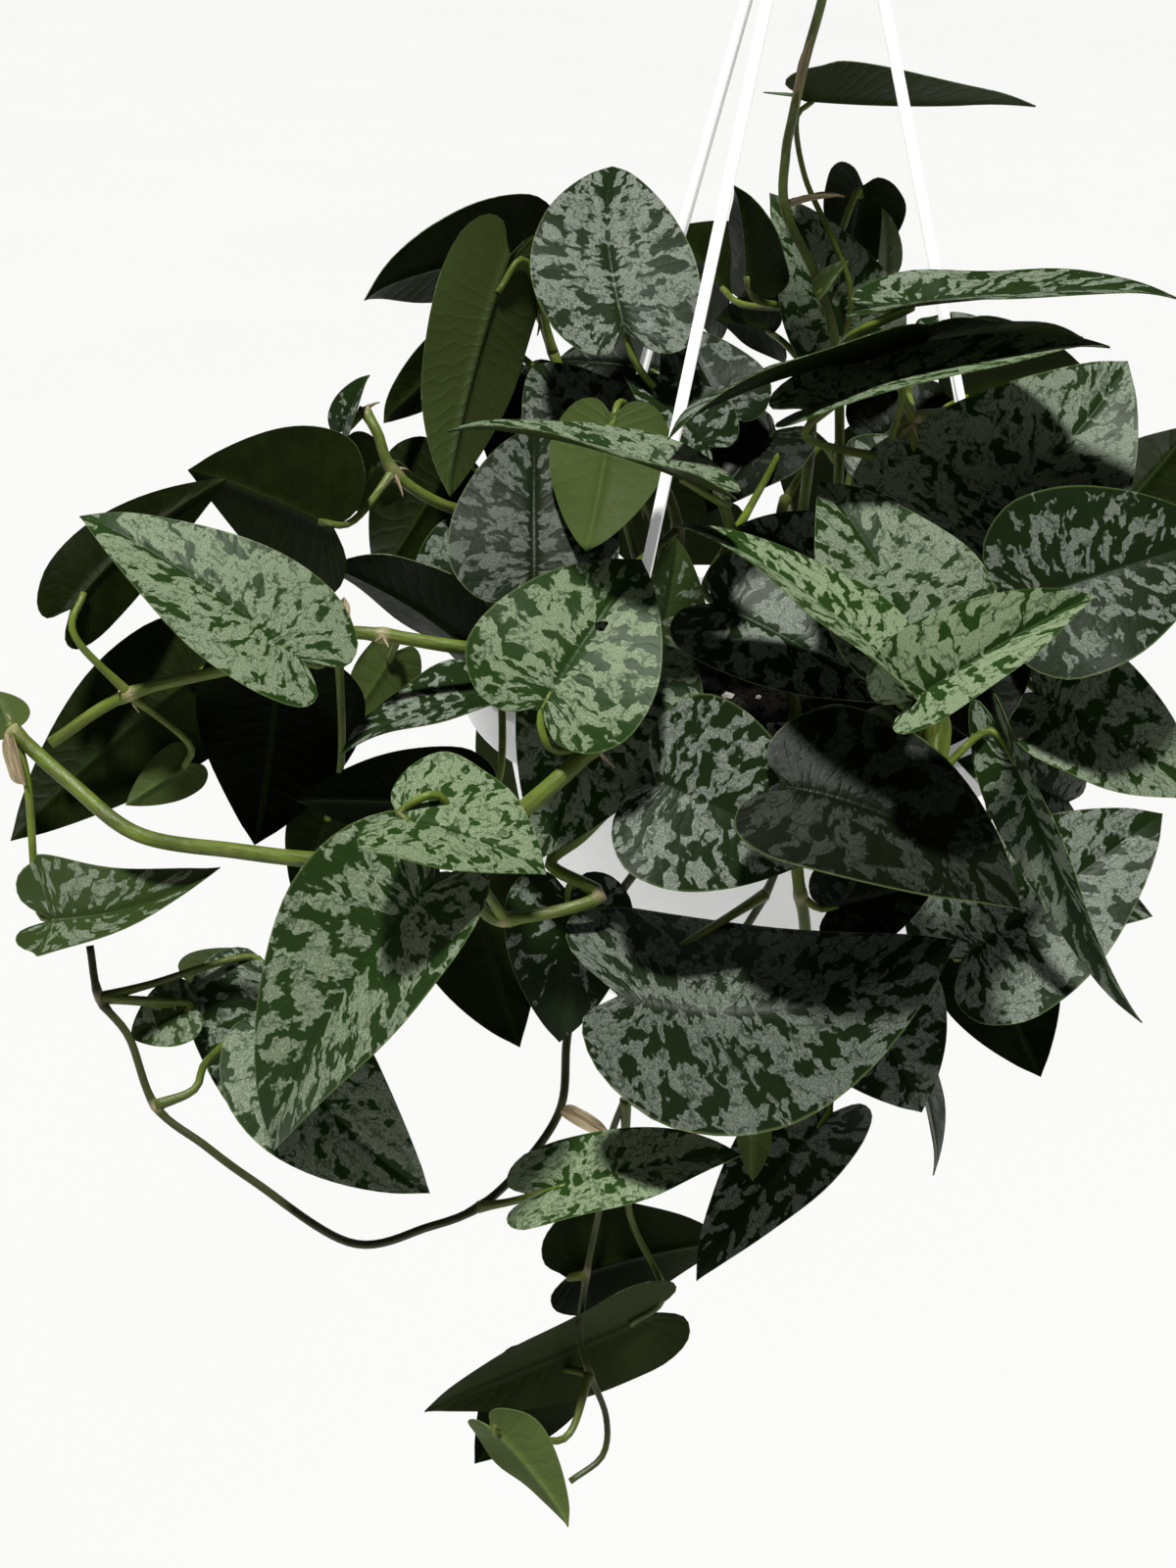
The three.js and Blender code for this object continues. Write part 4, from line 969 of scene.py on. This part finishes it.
def satin_leaf(settings):
    """Silver blotches between dark channels that follow the side veins, and a dark band at the midrib."""
    material = new_material("satin_leaf", 0.11)
    blade, ribs, kind = (layer(material, name) for name in LAYERS)
    silver_share, young, light = parts_of(kind)
    silver, crumbs = satin_pattern(blade, ribs, silver_share)
    veins = use_effect("side_veins", Ribs=ribs, Seed=parts_of(blade)[2])
    # Painted light: sunny mixes in the lit copies of the colours.
    sunny = ramp(light, 0.0, 1.0)

    shade = cloud(stretched(blade, 0.09, 0.09))
    green = mixed(sunny, rgba(settings.green), rgba(settings.sunny_green))
    green = mixed(shade * 0.4, green, rgba(settings.green, 1.8))
    pale_green = mixed(sunny, rgba(settings.green, 2), rgba(settings.sunny_green, 2))
    green = mixed(veins["Line"] * 0.25, green, pale_green)

    grain = cloud(stretched(blade, 2.6, 2.6), roughness=0.7)
    # Painted highlights: glint is a brightened silver, speckled in by the fine grain and spread over a leaf
    # whose look is above 1.
    glint = mixed(sunny, rgba(settings.silver, 2.2), rgba(settings.sunny_silver, 2.1))
    satin = mixed(sunny, rgba(settings.silver), rgba(settings.sunny_silver))
    satin = mixed(ramp(grain, 0.35, 0.55, 0.38, 0.0), satin, pale_green)
    satin = mixed(ramp(grain, 0.5, 0.68, 0.0, 0.7), satin, glint)
    satin = mixed(ramp(light, 1.0, 2.0, 0.0, 0.6), satin, glint)
    satin = mixed(veins["Line"] * 0.18, satin, pale_green)

    body = mixed(silver, green, satin)
    body = mixed(young * 0.75, body, rgba(settings.young))
    # Painted shade: a leaf whose look is below 0 is darkened toward a dim underside colour.
    body = mixed(ramp(light, -1.0, 0.0, 0.96, 0.0), body, rgba(settings.underside, 0.35))
    body = mixed(ramp(parts_of(ribs)[2], 0.97, 0.998) * 0.35, body, rgba(settings.margin))
    height = veins["Height"] * 0.35 + (silver * 0.2 + crumbs * 0.4)
    return finished(material, body, ramp(silver, 0.0, 1.0, 0.42, settings.satin), height, 0.00013)


def leaf_underside(settings):
    """A plain dark green face with a faint midrib and side veins."""
    material = new_material("leaf_underside", 0.04)
    blade, ribs, kind = (layer(material, name) for name in LAYERS)
    across, _, seed = parts_of(blade)
    _, young, light = parts_of(kind)
    veins = use_effect("side_veins", Ribs=ribs, Seed=seed)
    mottle = use_effect("mottle", Vector=stretched(blade, 0.14, 0.14), Low=0.3, High=0.75)
    body = mixed(mottle["Mask"], rgba(settings.underside), rgba(settings.underside, 1.6))
    # Painted light and shade: a sunny lower face is brightened toward the sunny underside colour, and one
    # whose look is below 0 is darkened.
    body = mixed(ramp(light, 0.0, 1.0), body, rgba(settings.sunny_underside))
    body = mixed(ramp(light, -1.0, 0.0, 0.8, 0.0), body, rgba(settings.underside, 0.2))
    body = mixed(young, body, rgba(settings.young))
    pale = mixed(young, rgba(settings.underside, 2.6), rgba(settings.young, 1.5))
    body = mixed(veins["Line"] * 0.16, body, pale)
    body = mixed(ramp(abs(across), 0.4, 1.2, 0.6, 0.0), body, pale)
    return finished(material, body, ramp(mottle["Height"], 0.3, 0.7, 0.42, 0.54), veins["Height"], 0.00009)


def vine_stem(settings):
    """Yellow-green stems with dry streaks along them and a pale ring at each node."""
    material = new_material("vine_stem", 0.3)
    blade = layer(material, "blade")
    old, ring, _ = parts_of(layer(material, "kind"))
    streaks = use_effect("mottle", Vector=stretched(blade, 0.9, 0.13), Low=0.52, High=0.66)
    tone = use_effect("mottle", Vector=stretched(blade, 0.1, 0.06), Low=0.35, High=0.65)
    body = mixed(tone["Mask"], rgba(settings.stem, 0.5), rgba(settings.stem))
    body = mixed(streaks["Mask"] * 0.45, body, rgba(settings.bark))
    body = mixed(old, body, rgba(settings.old_stem))
    body = mixed(ring * 0.7, body, rgba(settings.sheath))
    return finished(material, body, ramp(streaks["Mask"], 0.0, 1.0, 0.38, 0.6), streaks["Height"], 0.0004)


def dry_sheath(settings):
    """Papery sheaths and short brown roots, fibrous along their length."""
    material = new_material("dry_sheath", 0.3)
    along = stretched(layer(material, "blade"), 2.2, 0.12)
    fibres = use_effect("mottle", Vector=along, Low=0.35, High=0.65)
    body = mixed(fibres["Mask"], rgba(settings.sheath, 0.45), rgba(settings.sheath))
    return finished(material, body, ramp(fibres["Mask"], 0.0, 1.0, 0.6, 0.75), fibres["Height"], 0.0004)


def white_plastic(settings):
    """Moulded plastic with a fine grain and a little dust, and a faint painted glow that brightens its shaded
    side.
    """
    material = new_material("white_plastic", 0.5)
    place = object_place(material)
    dust = use_effect("mottle", Vector=place, Scale=38.0, Low=0.5, High=0.78)
    grain = use_effect("mottle", Vector=place, Scale=1800.0, Low=0.3, High=0.7)
    body = mixed(dust["Mask"] * 0.4, rgba(settings.plastic), rgba(settings.dust))
    # Painted light: a constant glow from the plastic itself, which lifts its shaded side.
    shader_of(material)["Emission Color"].default_value = rgba(settings.plastic)
    shader_of(material)["Emission Strength"].default_value = settings.painted_glow
    roughness = ramp(dust["Mask"], 0.0, 1.0, settings.gloss, settings.gloss + 0.2)
    return finished(material, body, roughness, grain["Height"], 0.00006)


def damp_peat_and_shade(settings):
    """Dark fibres of damp peat, shinier where they are damp; their colour is made darker still as painted
    shade for the soil under the leaves.
    """
    material = new_material("damp_peat_and_shade", 0.08)
    place = object_place(material)
    fibres = use_effect("mottle", Vector=place, Scale=520.0, Low=0.4, High=0.7)
    damp = use_effect("mottle", Vector=place, Scale=60.0, Low=0.4, High=0.6)
    body = mixed(fibres["Mask"], rgba(settings.peat_and_shade, 0.6), rgba(settings.peat_and_shade, 2.4))
    return finished(material, body, ramp(damp["Mask"], 0.0, 1.0, 0.9, 0.55), fibres["Height"], 0.0012)


def perlite_grain(settings):
    """White grains with fine pores."""
    material = new_material("perlite_grain", 0.3)
    pores = use_effect("mottle", Vector=object_place(material), Scale=1100.0, Low=0.35, High=0.6)
    body = mixed(pores["Mask"], rgba(settings.perlite, 0.6), rgba(settings.perlite))
    return finished(material, body, ramp(pores["Mask"], 0.0, 1.0, 0.95, 0.8), pores["Height"], 0.0005)


def pale_floor(settings):
    material = new_material("pale_floor", 0.1)
    tone = use_effect("mottle", Vector=object_place(material), Scale=0.8, Low=0.2, High=0.8)
    return finished(material, mixed(tone["Mask"], rgba(settings.floor, 0.98), rgba(settings.floor)), 0.9)


def plastic_material(context):
    shared_effects()
    return bpy.data.materials.get("white_plastic") or white_plastic(context.scene.pothos_pot)


# --- Pot, hanger and soil -----------------------------------------------------------------------------

def pot_profile(lip):
    """The pot's section, from the middle of its foot up the outside and down the inside."""
    foot = -POT_DEPTH
    band_inner = RIM_RADIUS - BAND_THICK
    inner_foot = BODY_FOOT_RADIUS - WALL
    return [
        (0, foot + FOOT_HOLLOW),
        (HOLLOW_RADIUS, foot + FOOT_HOLLOW),
        (STEP_RADIUS, foot + STEP_RISE),
        (FOOT_RING, foot),
        *arc(BODY_FOOT_RADIUS - FOOT_ROUND + WALL_LEAN, foot + FOOT_ROUND, FOOT_ROUND, -90, -8, 8),
        (BODY_TOP_RADIUS - 0.5, -FLANGE_THICK - EDGE_ROUND),
        (BODY_TOP_RADIUS, -FLANGE_THICK),
        (band_inner - EDGE_ROUND, -FLANGE_THICK),
        (band_inner, -FLANGE_THICK - EDGE_ROUND),
        (band_inner, -BAND_DROP + 0.6),
        *arc(RIM_RADIUS - BAND_THICK / 2, -BAND_DROP + BAND_THICK / 2, BAND_THICK / 2, 180, 360, 8),
        *arc(RIM_RADIUS - lip, -lip, lip, 0, 90),
        *arc(BODY_TOP_RADIUS - WALL + lip, -lip, lip, 90, 180),
        *arc(inner_foot - FOOT_ROUND + WALL_LEAN, foot + FOOT_ROUND + WALL, FOOT_ROUND, -8, -90, 8),
        (0, foot + WALL),
    ]


def make_pot(context):
    bm = turned(pot_profile(context.scene.pothos_pot.lip_round / MM), 96)
    bmesh.ops.translate(bm, vec=(0, 0, RIM_Z), verts=bm.verts)
    finish_piece(bm, "hanging_pot", "plastic", "pot", plastic_material(context))


def make_rod(context, name, azimuth):
    """A rod with a round-cornered knob under the flange."""
    seat = around(azimuth, ROD_SEAT_RADIUS, 0)
    along = (around(azimuth, 0, APEX_RISE) - seat).normalized()
    top = (SOCKET_RISE - GAP) / along.z
    knob_top = (-FLANGE_THICK - KNOB_GAP) / along.z
    knob_foot = knob_top - KNOB_TALL
    profile = [
        (0, knob_foot),
        *arc(KNOB_RADIUS - KNOB_ROUND, knob_foot + KNOB_ROUND, KNOB_ROUND, -90, 0),
        *arc(KNOB_RADIUS - KNOB_ROUND, knob_top - KNOB_ROUND, KNOB_ROUND, 0, 90),
        (ROD_RADIUS, knob_top),
        (ROD_RADIUS, top - ROD_CHAMFER),
        (ROD_RADIUS - ROD_CHAMFER, top),
        (0, top),
    ]
    bm = turned(profile, 24)
    bm.transform(Matrix.Translation(seat) @ along.to_track_quat("Z", "Y").to_matrix().to_4x4())
    finish_piece(bm, name + "_smooth", "plastic", name, plastic_material(context))


def make_hook(context):
    """The hub that holds the rods, with the bent hook that grows out of it."""
    profile = [
        (0, HUB_FOOT_RISE),
        (8.6, HUB_FOOT_RISE),
        *arc(9.8, HUB_FOOT_RISE + 1.2, 1.2, -90, 0),
        (10.4, HUB_FOOT_RISE + 6),
        *arc(7.6, HUB_TOP_RISE - 3.2, 2.6, 10, 80),
        (4.6, HUB_TOP_RISE - 0.3),
        (2.6, HUB_TOP_RISE + 1.2),
        (0, HUB_TOP_RISE + 1.2),
    ]
    bm = turned(profile, 48)
    layers = add_layers(bm)
    bmesh.ops.translate(bm, vec=(0, 0, RIM_Z), verts=bm.verts)
    points = [Vector((0, 0, RIM_Z + HUB_TOP_RISE - 3)), Vector((1, 0, RIM_Z + HUB_TOP_RISE + 10))]
    bend_centre = Vector((0, 0, RIM_Z + HOOK_CENTRE_RISE))
    for turn in range(HOOK_START, HOOK_END, 15):
        a = math.radians(turn)
        points.append(bend_centre + Vector((math.cos(a), 0, math.sin(a))) * HOOK_BEND_RADIUS)
    path = even_path(points, HOOK_STEP)
    total = path[-1][3]

    def hook_radius(s):
        end = max(0, 1 - (total - s) / HOOK_TIP) ** 2
        return 0.93 * HOOK_WIRE_RADIUS * (1 - end * 0.7)

    tube(bm, layers, path, hook_radius, 20, 0)
    finish_piece(bm, "hook_smooth", "plastic", "hanger_hook", plastic_material(context))


def scatter(bm, rng, count, smallest, largest, flat, material, sink):
    """Grains of a few faces each, half sunk in the soil's surface."""
    reach = SOIL_HIGH.x - 4
    for _ in range(count):
        a = rng.uniform(0, 2 * math.pi)
        r = reach * math.sqrt(rng.random())
        big = rng.uniform(smallest, largest)
        shape = Vector((rng.uniform(0.7, 1.2), rng.uniform(0.7, 1.2), rng.uniform(*flat))) * big / 2
        spin = Matrix.Rotation(rng.uniform(0, math.pi), 4, "Z")
        turn = spin @ Matrix.Rotation(rng.uniform(-0.6, 0.6), 4, "X")
        place = Vector((r * math.cos(a), r * math.sin(a), SOIL_TOP + sink * big))
        grain = bmesh.ops.create_icosphere(bm, subdivisions=1, radius=1)["verts"]
        for vert in grain:
            vert.co *= rng.uniform(0.8, 1.15)
        matrix = Matrix.Translation(place) @ turn @ Matrix.Diagonal((*shape, 1))
        bmesh.ops.transform(bm, matrix=matrix, verts=grain)
        for face in faces_of(grain):
            face.material_index = material
            face.smooth = False


def make_soil(context):
    """Peat that fills the pot to below its rim, with crumbs and white grains on top."""
    settings = context.scene.pothos_soil
    shared_effects()
    foot = SOIL_LOW.z
    wide = SOIL_HIGH.x
    edge = wide - SOIL_CLEARANCE
    profile = [(0, foot), (wide - 26, foot), (wide - 17, foot + 8), (edge, SOIL_TOP - SOIL_EDGE_DROP)]
    profile += [(edge * (SOIL_RINGS - k) / SOIL_RINGS, SOIL_TOP) for k in range(SOIL_RINGS + 1)]
    bm = turned(profile, 80)
    relief = settings.relief / MM
    for vert in bm.verts:
        if vert.co.z > SOIL_TOP - 0.1:
            near_wall = min(1.0, (wide - vert.co.xy.length) / 12)
            rough = noise.noise(vert.co * 0.09) * 0.6 + noise.noise(vert.co * 0.3) * 0.3
            vert.co.z += max(-relief, min(1.3, relief * rough * near_wall))
    rng = random.Random(SOIL_DRAWS)
    scatter(bm, rng, settings.crumbs, 1.2, 4.2, (0.5, 0.9), 0, 0.1)
    scatter(bm, rng, settings.grains, 1.8, 4.4, (0.6, 0.95), 1, 0.12)
    finish_piece(bm, "potting_soil", "soil", "soil", damp_peat_and_shade(settings), perlite_grain(settings))


# --- Stage --------------------------------------------------------------------------------------------

def make_floor(settings):
    bm = bmesh.new()
    bmesh.ops.create_grid(bm, x_segments=8, y_segments=8, size=60)
    bmesh.ops.translate(bm, vec=(0, 0, -settings.floor_drop), verts=bm.verts)
    add_object(bm, "floor", pale_floor(settings))


def make_sky(settings):
    """Dim light from all round, with a white backdrop behind the plant."""
    world = bpy.context.scene.world or bpy.data.worlds.new("World")
    bpy.context.scene.world = world
    world.use_nodes = True
    nodes, links = world.node_tree.nodes, world.node_tree.links
    sky = nodes["Background"]
    sky.inputs["Color"].default_value = rgba(SKY_COLOUR)
    sky.inputs["Strength"].default_value = settings.fill
    backdrop = nodes.new("ShaderNodeBackground")
    backdrop.inputs["Color"].default_value = (1.0, 1.0, 1.0, 1.0)
    seen = nodes.new("ShaderNodeMixShader")
    links.new(nodes.new("ShaderNodeLightPath").outputs["Is Camera Ray"], seen.inputs[0])
    links.new(sky.outputs["Background"], seen.inputs[1])
    links.new(backdrop.outputs["Background"], seen.inputs[2])
    links.new(seen.outputs["Shader"], nodes["World Output"].inputs["Surface"])


def make_key(settings):
    lamp = bpy.data.lights.new("key", "SUN")
    lamp.energy = settings.key
    lamp.angle = math.radians(KEY_SPREAD)
    lamp.color = KEY_COLOUR
    key = bpy.data.objects.new("key", lamp)
    key.matrix_world = toward(*KEY_FROM).to_track_quat("Z", "Y").to_matrix().to_4x4()
    bpy.context.scene.collection.objects.link(key)


def make_camera(settings):
    camera = bpy.data.objects.new("camera", bpy.data.cameras.new("camera"))
    camera.data.lens = settings.lens
    camera.data.sensor_width = 36
    camera.data.sensor_fit = "AUTO"
    camera.data.clip_start = 0.01
    eye = toward(-SIGHT_LEFT_OF_RIM, -SIGHT_BELOW_RIM, SIGHT_DISTANCE) + Vector((0, 0, RIM_Z))
    turn = Matrix((toward(1, 0, 0), toward(0, 1, 0), toward(0, 0, 1))).transposed().to_4x4()
    camera.matrix_world = Matrix.Translation(eye * MM) @ turn
    bpy.context.scene.collection.objects.link(camera)
    bpy.context.scene.camera = camera


# --- Operators ----------------------------------------------------------------------------------------

class POTHOS_OT_pot(bpy.types.Operator):
    """Builds the round pot with its flange and rim band"""
    bl_idname = "pothos.pot"
    bl_label = "Pot"

    def execute(self, context):
        make_pot(context)
        return {"FINISHED"}


class POTHOS_OT_rods(bpy.types.Operator):
    """Builds the three hanger rods"""
    bl_idname = "pothos.rods"
    bl_label = "Hanger rods"

    def execute(self, context):
        for name, azimuth in ROD_AZIMUTHS.items():
            make_rod(context, name, azimuth)
        return {"FINISHED"}


class POTHOS_OT_hook(bpy.types.Operator):
    """Builds the hub and the hook that the rods hang from"""
    bl_idname = "pothos.hook"
    bl_label = "Hook"

    def execute(self, context):
        make_hook(context)
        return {"FINISHED"}


class POTHOS_OT_soil(bpy.types.Operator):
    """Builds the soil with its crumbs and perlite"""
    bl_idname = "pothos.soil"
    bl_label = "Soil"

    def execute(self, context):
        make_soil(context)
        return {"FINISHED"}


class POTHOS_OT_vines(bpy.types.Operator):
    """Builds every vine with its stem, petioles and leaves"""
    bl_idname = "pothos.vines"
    bl_label = "Vines"

    def execute(self, context):
        shared_effects()
        leaves, stems = context.scene.pothos_leaf, context.scene.pothos_stem
        materials = [satin_leaf(leaves), leaf_underside(leaves), vine_stem(stems), dry_sheath(stems)]
        for index, plan in enumerate(VINES):
            make_vine(plan, index, leaves, stems, materials)
        return {"FINISHED"}


class POTHOS_OT_stage(bpy.types.Operator):
    """Builds the floor, the lights and the camera"""
    bl_idname = "pothos.stage"
    bl_label = "Stage"

    def execute(self, context):
        shared_effects()
        context.scene.view_settings.view_transform = "Standard"
        for make in (make_floor, make_sky, make_key, make_camera):
            make(context.scene.pothos_stage)
        return {"FINISHED"}


class POTHOS_PT_panel(bpy.types.Panel):
    """Lists the operators that build the plant"""
    bl_idname = "POTHOS_PT_panel"
    bl_label = "Satin pothos"
    bl_space_type = "VIEW_3D"
    bl_region_type = "UI"
    bl_category = "Pothos"

    def draw(self, context):
        for operator in OPERATORS:
            self.layout.operator(operator.bl_idname)


SETTINGS = {
    "pothos_leaf": PothosLeafSettings,
    "pothos_stem": PothosStemSettings,
    "pothos_pot": PothosPotSettings,
    "pothos_soil": PothosSoilSettings,
    "pothos_stage": PothosStageSettings,
}
OPERATORS = (POTHOS_OT_pot, POTHOS_OT_rods, POTHOS_OT_hook, POTHOS_OT_soil, POTHOS_OT_vines, POTHOS_OT_stage)


def register():
    for group in (*SETTINGS.values(), *OPERATORS, POTHOS_PT_panel):
        bpy.utils.register_class(group)
    for name, group in SETTINGS.items():
        setattr(bpy.types.Scene, name, PointerProperty(type=group))


def unregister():
    for name in SETTINGS:
        delattr(bpy.types.Scene, name)
    for group in (POTHOS_PT_panel, *reversed(OPERATORS), *reversed(SETTINGS.values())):
        bpy.utils.unregister_class(group)


def main():
    register()
    bpy.ops.pothos.stage()
    bpy.ops.pothos.pot()
    bpy.ops.pothos.rods()
    bpy.ops.pothos.hook()
    bpy.ops.pothos.soil()
    bpy.ops.pothos.vines()


if __name__ == "__main__":
    main()
